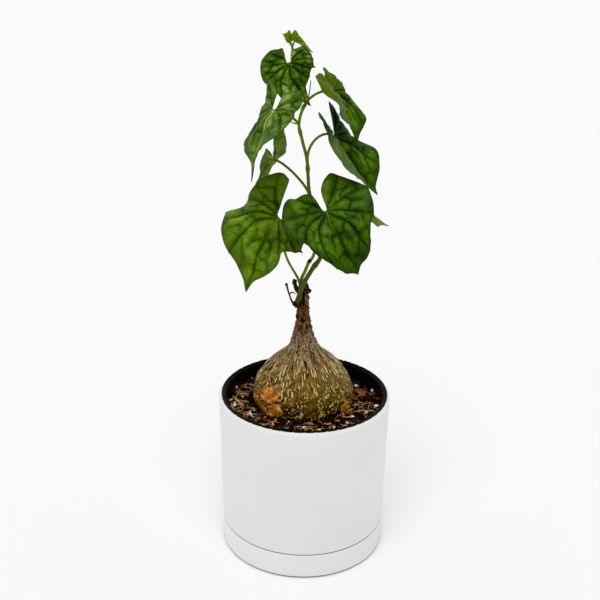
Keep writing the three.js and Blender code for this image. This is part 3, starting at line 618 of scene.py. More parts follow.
def makeCaudex():
    body = begin(
        "caudex_corky", bpy.ops.mesh.primitive_uv_sphere_add, segments=caudex["columns"],
        ring_count=caudex["rows"], radius=1.0)
    ball = places(body)
    down = np.arccos(np.clip(ball[:, 2], -1, 1)) / math.pi
    turn = np.arctan2(ball[:, 1], ball[:, 0])
    foot, top = caudex["span"]
    z = top - down * (top - foot)
    closing = 1
    for fromEnd in (down, 1 - down):
        closing = closing * np.sqrt(1 - (1 - np.clip(fromEnd / 0.012, 0, 1)) ** 2)
    neck = ease((z - 122) / 26)
    twist = turn + 0.05 * np.sin(z / 5 + 2 * turn)
    fine = np.sin(caudex["fineRidges"] * twist + 1.3 * np.sin(z / 5.5)) * ease((z - 110) / 10) * (1 - neck)
    flutes = np.sin(caudex["flutes"] * twist + 1.1 * np.sin(z / 6)) * ease((z - 116) / 18)
    ridges = 0.22 * fine + (0.3 - 0.02 * neck) * flutes
    around = np.stack([np.cos(turn), np.sin(turn), 0 * turn], 1)
    skin = caudexPoint(z, turn, ridges)
    axis = skin - around * (caudexRadius(z, turn) + ridges)[:, None]
    knobbly = 1 + 2.6 * ease((z - 138) / 10)
    rough = (swell(skin, 5.5, 3) * 0.16 + swell(skin, 2.4, 4) * 0.1) * knobbly
    draw = sameDraws(11)
    low, high = caudex["wartBand"]
    for _ in range(caudex["warts"]):
        at = caudexPoint(low + next(draw) * (high - low), next(draw) * 2 * math.pi)
        size = 1 + next(draw) * 0.5
        rough += 0.75 * size * np.exp(-(np.linalg.norm(skin - at, axis=1) / (0.95 * size)) ** 2)
    # rows of pits down the neck, each a ring of pale cork round a hole darkened with painted shade
    rng = np.random.default_rng(21)
    hollowShade, ring = np.zeros(len(skin)), np.zeros(len(skin))
    for row in range(caudex["pitRows"]):
        rowTurn = row / caudex["pitRows"] * 2 * math.pi + rng.uniform(-0.08, 0.08)
        top, foot, gap = (rng.uniform(*caudex[key]) for key in ("pitTop", "pitFoot", "pitGap"))
        for pitZ in np.arange(top, foot, -gap):
            at = caudexPoint(pitZ + rng.uniform(-0.4, 0.4), rowTurn + rng.uniform(-0.03, 0.03))
            far = np.linalg.norm((skin - at) * (1.25, 1.25, 0.8), axis=1)
            far = far * (1 + 0.25 * swell(skin, 1.6, 72))
            reach, pale = rng.uniform(*caudex["pitReach"]), rng.uniform(0.55, 1.0)
            hollowShade = np.maximum(hollowShade, ease(1.5 - far / reach))
            ring = np.maximum(ring, pale * np.exp(-((far - 1.5 * reach) / 0.4) ** 2))
            rough += 0.22 * np.exp(-((far - 1.2 * reach) / 0.4) ** 2) - 0.42 * np.exp(-(far / reach) ** 2)
    # the scar of an old shoot: a sunk hole in a torn rim, its hole darkened with painted shade
    far = np.linalg.norm((skin - np.array(caudex["scar"])) * (1, 0.5, 1), axis=1)
    far = far * (1 + 0.3 * swell(skin, 3, 71)) + 0.2
    rough += 0.6 * np.exp(-((far - 2.2) / 0.6) ** 2) - 1.2 * np.exp(-(far / 1.3) ** 2)
    hollowShade = np.maximum(hollowShade, ease(1.9 - far / 1.3))
    ring = np.maximum(ring, 0.5 * np.exp(-((far - 2.3) / 0.6) ** 2) * (skin[:, 2] < caudex["scar"][2]))
    # painted shadow beside the vine's foot: a dark streak in colour only, with no relief
    groove = np.hypot((skin[:, 0] + 1.5) / 0.9, (skin[:, 2] - 176.5) / 6)
    hollowShade = np.maximum(hollowShade, ease(1.6 - groove) * (skin[:, 1] < 3))
    skin = axis + (skin - axis + around * rough[:, None]) * closing[:, None]
    setPlaces(body, skin * mm)
    body.data.shade_smooth()
    setAttribute(body, "grain", np.c_[corkSkin["girth"] * around[:, :2], z])
    # holes: painted shade in the pits, the scar and beside the vine, pale rings, and the relief of the splits
    setAttribute(body, "holes", np.stack([hollowShade, ring, flutes * ease((z - 124) / 14) + 0.6 * fine], 1))
    body.data.materials.append(corkMaterial())
    settle(body, "caudex_bark", "caudex")


makeCaudex()
print("caudex grown")


# the mix: dark coir and peat with bark, perlite and fine roots, mounded a little to the front
mix = {
    "top": 101.5,
    "slope": 0.03,
    "bump": 0.9,
    "foot": 13.9,
    "footRadius": 38.1,
    "edgeHeight": 98,
    "edgeRadius": 50.8,
    "rimHeight": 100.5,
    "cupRadius": 34.2,
    "columns": 260,
    "rows": 70,
    # coir dust and peat, damp and pressed into crumbs: nearly black, with brown lights
    "colours": [(0.3, "#020100"), (0.45, "#0a0301"), (0.6, "#1e0c04"), (0.75, "#4a2409")],
    "crumb": 1.6,
}


def mixTop(x, y):
    wave = np.sin(x / 6.1 + 1) * np.cos(y / 7.3) + 0.7 * np.sin(x / 3.3 + y / 4.1)
    return mix["top"] - mix["slope"] * y + mix["bump"] * wave


def onMix(x, y, lift=0.0):
    return (x, y, float(mixTop(x, y)) + lift)


# loose stuff: each bit has its own tone, and a mottle of the size given in millimetres
def looseMaterial(name, stops, size, roughness, varied):
    mat, tree, shader, inMm = newMaterial(name)
    tone = addNode(tree, "Attribute", attribute_name="tone").outputs["Fac"]
    noise = addNode(tree, "TexNoise", {"Vector": inMm, "Scale": 1 / size, "Detail": 4.0, "Roughness": 0.6})
    mixed = addNode(tree, "Mix", {0: varied, 2: noise, 3: tone})
    colour = addNode(tree, "ValToRGB", {"Fac": mixed}, stops)
    finishSkin(tree, shader, colour, noise, 0.6, size * 0.4, {
        "Roughness": roughness, "Specular IOR Level": 0.03})
    return mat


def makeMix():
    edge, inner = mix["edgeRadius"], mix["edgeHeight"] + 2
    foot = [(mix["footRadius"], mix["foot"]), (edge, mix["edgeHeight"])]
    inward = [(edge * (1 - k / mix["rows"]), inner) for k in range(mix["rows"])]
    body = turnUp("potting_mix", foot + inward + [(0.2, inner)], mix["columns"])
    co = places(body) / mm
    x, y = co[:, 0], co[:, 1]
    onTop = co[:, 2] > inner - 1
    chunky = swell(co, 5, 31) * 0.45 + swell(co, 2.2, 32) * 0.35 + swell(co, 1.1, 33) * 0.25
    top = mixTop(x, y) + chunky
    # it cups the buried half of the caudex
    fromCaudex = np.hypot(x - caudex["axis"][0], y - caudex["axis"][1])
    lower = [(r, z) for z, r in caudex["profile"][:5]]
    cup = readPairs([(0, 83)] + lower + [(mix["cupRadius"], 108)], fromCaudex) - 1.0
    top = np.where(fromCaudex < mix["cupRadius"], np.minimum(top, cup), top)
    top = np.where(np.hypot(x, y) > edge - 0.5, np.minimum(top, mix["rimHeight"]), top)
    co[onTop, 2] = top[onTop]
    setPlaces(body, co * mm)
    body.data.shade_smooth()
    setAttribute(body, "tone", 0.5 + chunky * 0.2)
    body.data.materials.append(looseMaterial("coirAndPeat", mix["colours"], mix["crumb"], 0.95, 0.25))
    settle(body, "soil_mix", "soil")


makeMix()

strewn = {
    "grains": 90,
    "grainSpots": [
        (36.6, 41.4), (40.7, 34.2), (35.9, 27.4), (46.9, 19.8), (40.5, -14.9), (48.2, -6.4), (31.0, -22.1),
        (18.5, -36.0), (0.0, -38.3), (-49.2, 3.1), (-46.5, -7.3), (-35.6, -18.8), (-20.4, -33.8),
        (-47.4, 20.9), (-38.0, 34.8), (-26.6, -38.4), (30.4, -25.3), (27.6, -31.6), (37.4, -27.4),
        (9.4, -40.2)],
    "grainTones": [(0.3, "#d2c8b6"), (0.5, "#f2ede4"), (0.7, "#fdfcf9")],
    "shreds": 190,
    # the longest shreds: x, y, turn and length
    "longShreds": [(-44, -2, 2.1, 3.2), (-17, -35.5, 0.7, 2.6), (39, 9, 0.9, 2.2), (28.6, -27.5, 0.2, 2.2),
                   (-37, 31, 1.9, 2.5), (31.5, 4, 1.2, 2.8), (-6, -42, 0.1, 2.0)],
    "shredTones": [(0.32, "#0c0301"), (0.48, "#38120a"), (0.62, "#8a3f18"), (0.8, "#d89c5c")],
    "crumbs": 420,
    "crumbTones": [(0.3, "#030100"), (0.5, "#140602"), (0.7, "#4c1e0a")],
    "roots": 150,
    "rootTones": [(0.3, "#7e5c36"), (0.5, "#b08a5a"), (0.7, "#e0c69c")],
    "inner": 34.5,
    "outer": 49.8,
}


# a free place in the ring between the caudex and the nursery pot
def ringPlace(rng, inner=strewn["inner"], outer=strewn["outer"]):
    while True:
        turn, radius = rng.uniform(0, 2 * math.pi), outer * math.sqrt(rng.uniform(0.4, 1))
        x, y = math.cos(turn) * radius, math.sin(turn) * radius
        if math.hypot(x - caudex["axis"][0], y - caudex["axis"][1]) > inner:
            return x, y


# four shapes of a kind, from a round grain, a plainer crumb or a bent, tapered shred
def roughShapes(kind, seed, stretch, roughness):
    shapes = []
    for k in range(4):
        if kind == "shred":
            piece = begin(kind, bpy.ops.mesh.primitive_cube_add, size=2)
            bpy.ops.object.mode_set(mode="EDIT")
            bpy.ops.mesh.subdivide(number_cuts=2)
            bpy.ops.object.mode_set(mode="OBJECT")
        else:
            finer = 2 if kind == "grain" else 1
            piece = begin(kind, bpy.ops.mesh.primitive_ico_sphere_add, subdivisions=finer, radius=1)
        co = places(piece)
        if kind == "shred":
            co[:, 1:] *= (1 - 0.45 * np.abs(co[:, 0]) ** 3)[:, None]
            co[:, 2] += 0.5 * co[:, 0] ** 2
        co *= (1 + roughness * swell(co, 1.7, seed + k))[:, None]
        setPlaces(piece, co * stretch * mm)
        shapes.append(piece)
    return shapes


def makeStrewn():
    rng = np.random.default_rng(77)
    spots = []
    for x, y in strewn["grainSpots"]:
        spots.append((rng.integers(4), onMix(x, y, 0.5), randomTurn(rng), rng.uniform(1.2, 2.0)))
    for _ in range(strewn["grains"]):
        x, y = ringPlace(rng)
        kind, turn = rng.integers(4), randomTurn(rng)
        spots.append((kind, onMix(x, y, 0.2), turn, 0.3 + rng.uniform(0, 1) ** 2.5 * 0.9))
    # perlite: puffed volcanic glass, chalky white and stained by the mix
    skin = looseMaterial("puffedPerlite", strewn["grainTones"], 0.9, 0.85, 0.4)
    strew("perlite_grains", roughShapes("grain", 50, (1, 0.85, 0.75), 0.16), spots, 1, skin)

    spots = []
    for _ in range(strewn["shreds"]):
        x, y = ringPlace(rng)
        size = (rng.uniform(0.5, 1.5), rng.uniform(0.5, 1.1), rng.uniform(0.6, 1.2))
        spots.append((rng.integers(4), onMix(x, y, rng.uniform(0.2, 1.2)), randomTurn(rng, 0.35), size))
    for x, y, turn, long in strewn["longShreds"]:
        quat = Matrix.Rotation(turn, 3, "Z").to_quaternion()
        spots.append((rng.integers(4), onMix(x, y, 1.3), quat, (long, 1.2, 1.0)))
    # shredded pine bark: orange brown where it is torn, dark where it is wet
    skin = looseMaterial("shreddedPineBark", strewn["shredTones"], 1.3, 0.85, 0.6)
    strew("bark_shreds", roughShapes("shred", 60, (2.6, 0.8, 0.42), 0.12), spots, 2, skin)

    spots = []
    for _ in range(strewn["crumbs"]):
        x, y = ringPlace(rng)
        size = (rng.uniform(0.5, 1.6), rng.uniform(0.5, 1.2), rng.uniform(0.5, 1.0))
        spots.append((rng.integers(4), onMix(x, y, rng.uniform(0, 0.9)), randomTurn(rng), size))
    # coir pith: ground coconut husk in soft crumbs, dark brown and without shine
    skin = looseMaterial("coirPith", strewn["crumbTones"], 1.0, 0.95, 0.6)
    strew("coir_crumbs", roughShapes("crumb", 70, (1, 0.9, 0.8), 0.2), spots, 3, skin)

    shapes = []
    for k in range(5):
        bend = rng.uniform(-1.6, 1.6, 2)
        path = [(-5, 0, 0), (-2, bend[0], 0.5), (1.5, bend[1], 0.3), (5, bend[0] * 0.4, 0)]
        shapes.append(stemThrough("rootlet%d" % k, path, [0.13, 0.2, 0.16, 0.08], 8, 4))
    spots = []
    for _ in range(strewn["roots"]):
        x, y = ringPlace(rng, 36.5, 47.5)
        spots.append((rng.integers(5), onMix(x, y, rng.uniform(0.9, 1.6)), randomTurn(rng, 0.2),
                      rng.uniform(0.4, 1.1)))
    # fine roots and coconut fibre: pale tan, dry
    strew("root_fibres", shapes, spots, 4, looseMaterial("dryRootlets", strewn["rootTones"], 2.0, 0.8, 0.8))


makeStrewn()
print("mix filled")


# stems: their routes in millimetres and their radii from the root end to the tip; a knot is a share of the
# route, how much thicker it is there, and over what share
vine = {
    "path": [
        [-2.6, 3.4, 169], [-5.6, -0.6, 174], [-4.2, -3.6, 180.9], [-2.1, -6, 188.6], [4, -8, 201],
        [8.3, -8, 207.7], [9.3, -5, 218.6], [6.6, -1.5, 230.4], [1.1, 0, 247.5], [0, -1, 258.6],
        [-0.8, -2, 268.9], [-4.1, -3, 282.1], [-6, -4, 291.5], [-3.7, -3, 300.9], [-1.4, -2, 305],
        [-3.3, -1.2, 312.5], [-6.4, -2, 322], [-8.8, -3.6, 330.5], [-10.6, -6, 337.1],
        [-11.4, -6.4, 340.4]],
    "radii": [1.7, 1.55, 1.4, 1.22, 1.12, 1.05, 0.98, 0.88, 0.72, 0.5],
    "knots": [(0.215, 0.3, 0.012), (0.44, 0.35, 0.01), (0.56, 0.4, 0.01), (0.69, 0.4, 0.01),
              (0.775, 0.45, 0.01), (0.87, 0.4, 0.01), (0.97, 0.5, 0.01)],
    "tones": [(0.0, "#4a3c04"), (0.06, "#545202"), (0.3, "#546402"), (0.6, "#5e7800"), (1.0, "#7c9808")],
}

shoot = {
    "path": [
        [-2.4, 3.6, 184], [-3, 2.4, 189.6], [-0.9, 1.6, 195.1], [1.5, 1, 201.6], [3.8, 1, 204.9],
        [5.8, 2, 211.5], [7, 4, 215.5], [6.9, 6, 222.6]],
    "radii": [1.2, 1.1, 1.05, 1],
    "knots": [(0.45, 0.25, 0.03), (0.8, 0.2, 0.03)],
    "tones": [(0.0, "#5e4e06"), (0.25, "#7a8402"), (1.0, "#84980a")],
    "budAt": (1.9, 0.2, 202.6),
}

tendrils = {
    "paths": [[[-1.4, -2, 305], [-0.2, -2.2, 309.1], [0.7, -2, 317.1]],
              [[-6, -4, 291.5], [-9.4, -3.6, 291.9], [-13.4, -3.8, 294.6]]],
    "radii": [0.42, 0.34, 0.28],
    "tones": [(0.0, "#241a0c"), (1.0, "#34301c")],
}

# small dead parts that stay on the caudex: bud stubs and a dry branched twig, and the knobs that end them
dead = {
    "twigs": [
        ([[-4, 3, 180], [-6, 1.6, 182.4], [-8, 1.4, 189]], [1.7, 1.5, 1]),
        ([[-1.6, 3, 179.6], [1.3, 1.8, 181], [2, 1.4, 181.8]], [1.6, 1.4, 0.9]),
        ([[-2, 3, 182], [-0.4, 1.8, 185.4], [0.3, 1.6, 186.8]], [1.1, 0.9, 0.5]),
        ([[-5, 1.6, 171], [-8.4, -2.6, 174.8], [-10.9, -5, 182], [-12.6, -6, 188.8]], [0.8, 0.7, 0.5, 0.7]),
        ([[-10.8, -4.8, 181.6], [-8.9, -5.6, 183.4], [-6.8, -5.9, 182.4]], [0.5, 0.45, 0.35]),
    ],
    "twigTip": ((-12.6, -6, 188.8), 0.95, (1, 1, 1), 8),
    "stubTip": ((-7.6, 1.4, 187.6), 1.75, (0.9, 0.9, 1.25), 9),
    "stubKnob": ((1.6, 1.6, 181.6), 1.6, (1.1, 0.9, 1.0), 10),
    "collarCork": (caudex["collar"], 2.9, (1.0, 0.9, 0.8), 12),
    "lipAt": (-5.5, -1.1, 173.4),
    "lipFaces": (0.18, -0.4, 0.9),
    "lipRadius": 2.3,
    "lipThickness": 0.8,
    "tones": [(0.3, "#080201"), (0.48, "#240e06"), (0.58, "#58280e"), (0.7, "#b0682c")],
}


# living stem: a waxy skin with fine lengthwise lines, browner and corkier towards the root; its tones run
# from one height to the other, with blotches of 3 mm
def stemMaterial(name, stops, low, high):
    mat, tree, shader, inMm = newMaterial(name)
    height = addNode(tree, "SeparateXYZ", {0: inMm}).outputs["Z"]
    blotch = addNode(tree, "TexNoise", {"Vector": inMm, "Scale": 0.35, "Detail": 5.0, "Roughness": 0.7})
    drift = (high - low) / 4
    level = addNode(tree, "Math", {0: blotch, 1: drift, 2: height}, operation="MULTIPLY_ADD")
    share = addNode(tree, "MapRange", {
        "Value": level, "From Min": low + drift * 0.48, "From Max": high + drift * 0.48})
    colour = addNode(tree, "ValToRGB", {"Fac": share}, stops)
    # lines half a millimetre apart and 4 mm long
    stretch = addNode(tree, "VectorMath", {0: inMm, 1: (2.2, 2.2, 0.25)}, operation="MULTIPLY")
    lines = addNode(tree, "TexNoise", {"Vector": stretch, "Scale": 1.0, "Detail": 3.0})
    shade = addNode(tree, "ValToRGB", {"Fac": lines}, [(0.3, 0.62), (0.5, 1.0), (0.7, 1.3)])
    colour = addNode(tree, "Mix", {0: 0.8, 6: colour, 7: shade}, data_type="RGBA", blend_type="MULTIPLY")
    finishSkin(tree, shader, colour, lines, 0.5, 0.3, {"Roughness": 0.45, "Specular IOR Level": 0.08})
    return mat


# dead twig: black where it has rotted, rusty orange where the bark has peeled
def deadWood():
    mat, tree, shader, inMm = newMaterial("driedDeadWood")
    noise = addNode(tree, "TexNoise", {"Vector": inMm, "Scale": 0.9, "Detail": 5.0, "Roughness": 0.7})
    colour = addNode(tree, "ValToRGB", {"Fac": noise}, dead["tones"])
    finishSkin(tree, shader, colour, noise, 0.8, 0.6, {"Roughness": 0.5, "Specular IOR Level": 0.1})
    return mat


def ballAt(name, centre, radius, squash, seed):
    ball = begin(name, bpy.ops.mesh.primitive_ico_sphere_add, subdivisions=4, radius=1)
    co = places(ball)
    co *= (1 + 0.1 * swell(co, 1.5, seed) + 0.05 * swell(co, 0.6, seed + 1))[:, None] * radius
    setPlaces(ball, (co * squash + np.array(centre)) * mm)
    ball.data.shade_smooth()
    return ball


# the cork lip that grew up round the vine's foot
def makeLip():
    lip = begin("lip", bpy.ops.mesh.primitive_torus_add, major_segments=48, minor_segments=14,
                major_radius=dead["lipRadius"] * mm, minor_radius=dead["lipThickness"] * mm)
    co = places(lip)
    co *= (1 + 0.14 * swell(co / mm, 2.2, 61))[:, None]
    lean = Vector(dead["lipFaces"]).to_track_quat("Z", "Y").to_matrix()
    setPlaces(lip, co @ np.array(lean).T + np.array(dead["lipAt"]) * mm)
    return lip


def makeStems():
    parts = [stemThrough("vine_climbing", vine["path"], vine["radii"], 260, 20, vine["knots"])]
    # the climbing vine: smooth and green, yellow green at its young end
    parts[0].data.materials.append(stemMaterial("greenVineSkin", vine["tones"], 172.0, 335.0))
    # a tendril that found no hold: dried to a dark thread
    dried = stemMaterial("witheredTendril", tendrils["tones"], 280.0, 330.0)
    for k, path in enumerate(tendrils["paths"]):
        parts.append(stemThrough("tendril%d" % k, path, tendrils["radii"], 24, 10))
        parts[-1].data.materials.append(dried)
    settle(joinPieces("vine_climbing", parts), "vine_bark", "vine_stem")

    side = stemThrough("side_shoot_green", shoot["path"], shoot["radii"], 90, 16, shoot["knots"])
    side.data.materials.append(stemMaterial("youngShootSkin", shoot["tones"], 184.0, 222.0))
    bud = ballAt("shoot_bud", shoot["budAt"], 1.4, (1, 0.9, 0.8), 5)
    deadSkin = deadWood()
    bud.data.materials.append(deadSkin)
    settle(side, "green_stem", "side_shoot")
    settle(bud, "green_stem", "side_shoot")

    twigs = [stemThrough("twig%d" % k, path, radii, 24, 12) for k, (path, radii) in enumerate(dead["twigs"])]
    twigs += [ballAt(name, *dead[name]) for name in ("twigTip", "stubTip", "stubKnob")]
    twigs += [makeLip(), ballAt("collarCork", *dead["collarCork"])]
    stubs = joinPieces("dead_stubs", twigs)
    stubs.data.materials.append(deadSkin)
    settle(stubs, "caudex_bark", "caudex")


makeStems()
print("stems drawn")


# the shape that all the leaves share, in leaf lengths and degrees from the tip
blade = {
    "veins": [0, 36, 72, 110, 148, 180],
    "veinStrength": (1.0, 1.0, 0.95, 0.6, 0.8),
    "columns": [0, 5, 14, 25, 36, 48, 60, 72, 85, 98, 110, 123, 136, 148, 164, 180],
    "outline": [(0, 1), (5, 0.9), (12, 0.81), (22, 0.76), (35, 0.73), (52, 0.75), (60, 0.71), (75, 0.66),
                (92, 0.66), (100, 0.625), (115, 0.6), (145, 0.58), (158, 0.52), (168, 0.4), (180, 0.33)],
    "reachAt": [0, 20, 38, 62, 80, 105, 150],
    "ridge": [(0, 0), (0.26, 0.55), (0.52, 1), (0.77, 0.55), (1, 0.3)],
    "backReach": 0.72,
    "foldWidth": 0.07,
    "foldReach": 0.55,
    "curlReach": 0.6,
    "quilt": 1.3,
    "wave": 0.4,
    "tooth": 0.018,
    "arch": 16,
    "sinusRound": 0.6,
    "branch": 11,
    "ribPoints": 14,
    "puff": 1.05,
    "thick": 0.45,
}

# at is the petiole's seat, along the midrib there, face the upper side; angles are in radians. Most of these
# values come from a fit of each leaf's form to outline points picked off the photograph
leaves = {
    "leaf_crest": {
        "at": [-12.3, -5.6, 327.7], "along": [0.23, 0.12, -0.97], "face": [0.38, -0.92, -0.02],
        "length": 28.1,
        "reach": {"left": [0.81, 0.75, 0.8, 0.88, 0.99, 0.99], "right": [0.99, 0.94, 0.86, 0.9, 0.97, 1.01]},
        "droop": [-0.12, -1.14, -0.74], "swing": -0.3, "twist": 0.34,
        "fold": {"left": [0.55, 0.44, 0.1], "right": [0.2, -0.1, 0]},
        "curl": {"left": [0.81, -0.08], "right": [-0.24, -0.15]},
        "sinus": {"left": 0.075, "right": 0.065, "round": 0.2}, "tail": 1,
        "petiole": [[-5.6, -1.6, 318], [-8.8, -2.4, 323.5], [-10.6, -4.6, 326.4]]},
    "leaf_left_upper": {
        "at": [-20.7, -25.3, 304], "along": [-0.43, -0.38, -0.82], "face": [-0.18, -0.85, 0.49],
        "length": 34.7,
        "reach": {"left": [0.96, 1, 1.13, 0.99, 0.8, 0.96], "right": [1.16, 1.16, 1, 0.96, 0.94, 0.88]},
        "droop": [0.26, 0.44, -1.31], "swing": 0.02, "twist": -1,
        "fold": {"left": [-0.34, 0.73, 0.74], "right": [-0.32, -0.7, 0.46]},
        "curl": {"left": [-0.05, -0.56], "right": [-0.63, -0.51]}, "sinus": {"left": 0.06, "right": 0.06},
        "tail": 9,
        "petiole": [[-6, -4, 291.5], [-10.7, -7.5, 296.7], [-15.3, -11.5, 300], [-19, -15, 301.8]]},
    "leaf_right_upper": {
        "at": [14.4, 1.5, 309.8], "along": [0.51, 0.08, -0.86], "face": [0.74, -0.54, 0.39],
        "length": 33.9,
        "reach": {"left": [1.05, 1.07, 1.08, 1.01, 0.91, 0.91], "right": [0.99, 1.02, 1.1, 1.15, 1.22, 1.03]},
        "droop": [-0.23, -0.09, 0.16], "swing": 0.65, "twist": 0.11,
        "fold": {"left": [-0.14, 0.36, 0.35], "right": [0.66, 1.07, 0.96]},
        "curl": {"left": [-1.5, -0.08], "right": [-0.58, -1.12]},
        "sinus": {"left": 0.015, "right": 0.015}, "tail": 1,
        "petiole": [[-1.4, -2, 305], [1.6, -1, 307.4], [5.1, 0, 309.4], [10.5, 1.4, 310.6]]},
    "leaf_right_middle": {
        "at": [15.1, -1, 283.6], "along": [0.56, -0.02, -0.83], "face": [0.66, -0.6, 0.46],
        "length": 43.8,
        "reach": {"left": [1.06, 1.06, 1.01, 0.97, 0.91, 0.83], "right": [0.99, 1, 1.01, 0.98, 0.93, 1.03]},
        "droop": [-0.24, -0.23, -0.15], "swing": 0.12, "twist": -0.05,
        "fold": {"left": [0.51, 0.31, 0.26], "right": [1.25, 1.22, 0.73]},
        "curl": {"left": [-1.56, 0.11], "right": [-0.97, -0.02]}, "sinus": {"left": 0.1, "right": 0.1},
        "tail": 1.5,
        "petiole": [[-0.8, -2, 268.9], [0.3, -4, 275.7], [3.2, -6, 281.7], [7.3, -7, 285.4],
                    [11, -7, 286.4]]},
    "leaf_left_inner": {
        "at": [-21.1, 10.9, 265.4], "along": [-0.28, 0.32, -0.9], "face": [-0.95, 0.05, 0.32],
        "length": 32.2,
        "reach": {"left": [1, 1, 1, 1, 0.99, 0.99], "right": [1, 0.99, 0.98, 1.02, 1.07, 1.13]},
        "droop": [-0.4, -0.04, -1.16], "swing": -0.38, "twist": 0,
        "fold": {"left": [0.69, 0.59, 0.23], "right": [0.47, 0.53, 0.21]},
        "curl": {"left": [-0.51, 0.04], "right": [-1.45, 0.02]}, "sinus": {"left": 0.09, "right": 0.09},
        "tail": 1,
        "petiole": [[0.8, 0, 247.5], [-3, 0.2, 253.2], [-9.3, 2, 259.8], [-14.3, 4, 263.6],
                    [-18.1, 6, 265.6]]},
    "leaf_front_left": {
        "at": [-17.4, -19.1, 237], "along": [-0.56, -0.63, -0.53], "face": [0.44, -0.77, 0.45],
        "length": 48.1,
        "reach": {"left": [0.95, 0.63, 0.7, 0.72, 0.78, 0.85], "right": [1.07, 1.05, 0.93, 0.85, 0.91, 0.97]},
        "droop": [0.06, 0.46, 0.85], "swing": -0.56, "twist": -0.1,
        "fold": {"left": [0.1, -0.35, 0.5], "right": [1.16, -0.36, 0.29]},
        "curl": {"left": [0.6, 0.6], "right": [-1, 0.49]}, "sinus": {"left": 0.1, "right": 0.1},
        "tail": 4,
        "petiole": [[-3.6, 3.2, 184], [-5.4, 0.8, 190.4], [-12, -9.5, 206.8], [-15.6, -13, 220],
                    [-17.9, -14.6, 232]]},
    "leaf_front_right": {
        "at": [11, -26.6, 244], "along": [0.42, -0.44, -0.79], "face": [0.12, -0.83, 0.54],
        "length": 42.3,
        "reach": {"left": [1.04, 1.06, 0.95, 0.99, 1.05, 1.02], "right": [1.17, 1.13, 0.85, 0.95, 1.1, 0.79]},
        "droop": [0.24, 0.34, -0.42], "swing": -0.13, "twist": -0.29,
        "fold": {"left": [-0.2, 0.2, 0.53], "right": [0.08, 0.05, 0.68]},
        "curl": {"left": [0, 1.06], "right": [0.18, 1.6]}, "sinus": {"left": 0.04, "right": 0.08},
        "tail": 1,
        "petiole": [[6.9, 6, 222.2], [9.5, 2.5, 228.5], [11.3, -4, 234.5], [11.2, -13, 238.5],
                    [10.7, -20, 241]]},
    "leaf_back_right": {
        "at": [22.3, 14, 233.9], "along": [0.82, 0.38, -0.42], "face": [0.4, 0.14, 0.9], "length": 36.3,
        "reach": {"left": [1, 1, 1, 1, 0.8, 0.5], "right": [0.97, 0.97, 1, 1, 0.8, 0.5]},
        "droop": [0.09, -0.27, 0], "swing": 0.08, "twist": -0.21,
        "fold": {"left": [0.2, 0.21, 0.25], "right": [0.2, 0.31, 0]},
        "curl": {"left": [0.01, 0.04], "right": [0.2, -0.19]}, "sinus": {"left": 0.09, "right": 0.09},
        "tail": 1, "petiole": [[5.8, 2, 211.5], [10, 6.5, 219], [16, 11, 228], [20.4, 13, 231.6]]},
}

# the two young leaves at the growing tip, not yet unfolded
youngLeaves = {
    "leaf_tip_left": {
        "at": [-12.4, -6.4, 340.6], "along": [-0.64, -0.1, 0.74], "face": [0.35, -0.92, 0.15],
        "length": 5.6, "fold": 0.3, "petiole": [[-10.9, -6, 337.8], [-12, -6.3, 339.6]]},
    "leaf_tip_right": {
        "at": [-9.1, -6.4, 340.6], "along": [0.87, -0.26, -0.4], "face": [0.45, -0.35, 0.8],
        "length": 11.5, "fold": 0.8, "petiole": [[-10.5, -6, 336.6], [-9.7, -6.2, 339.2]]},
}


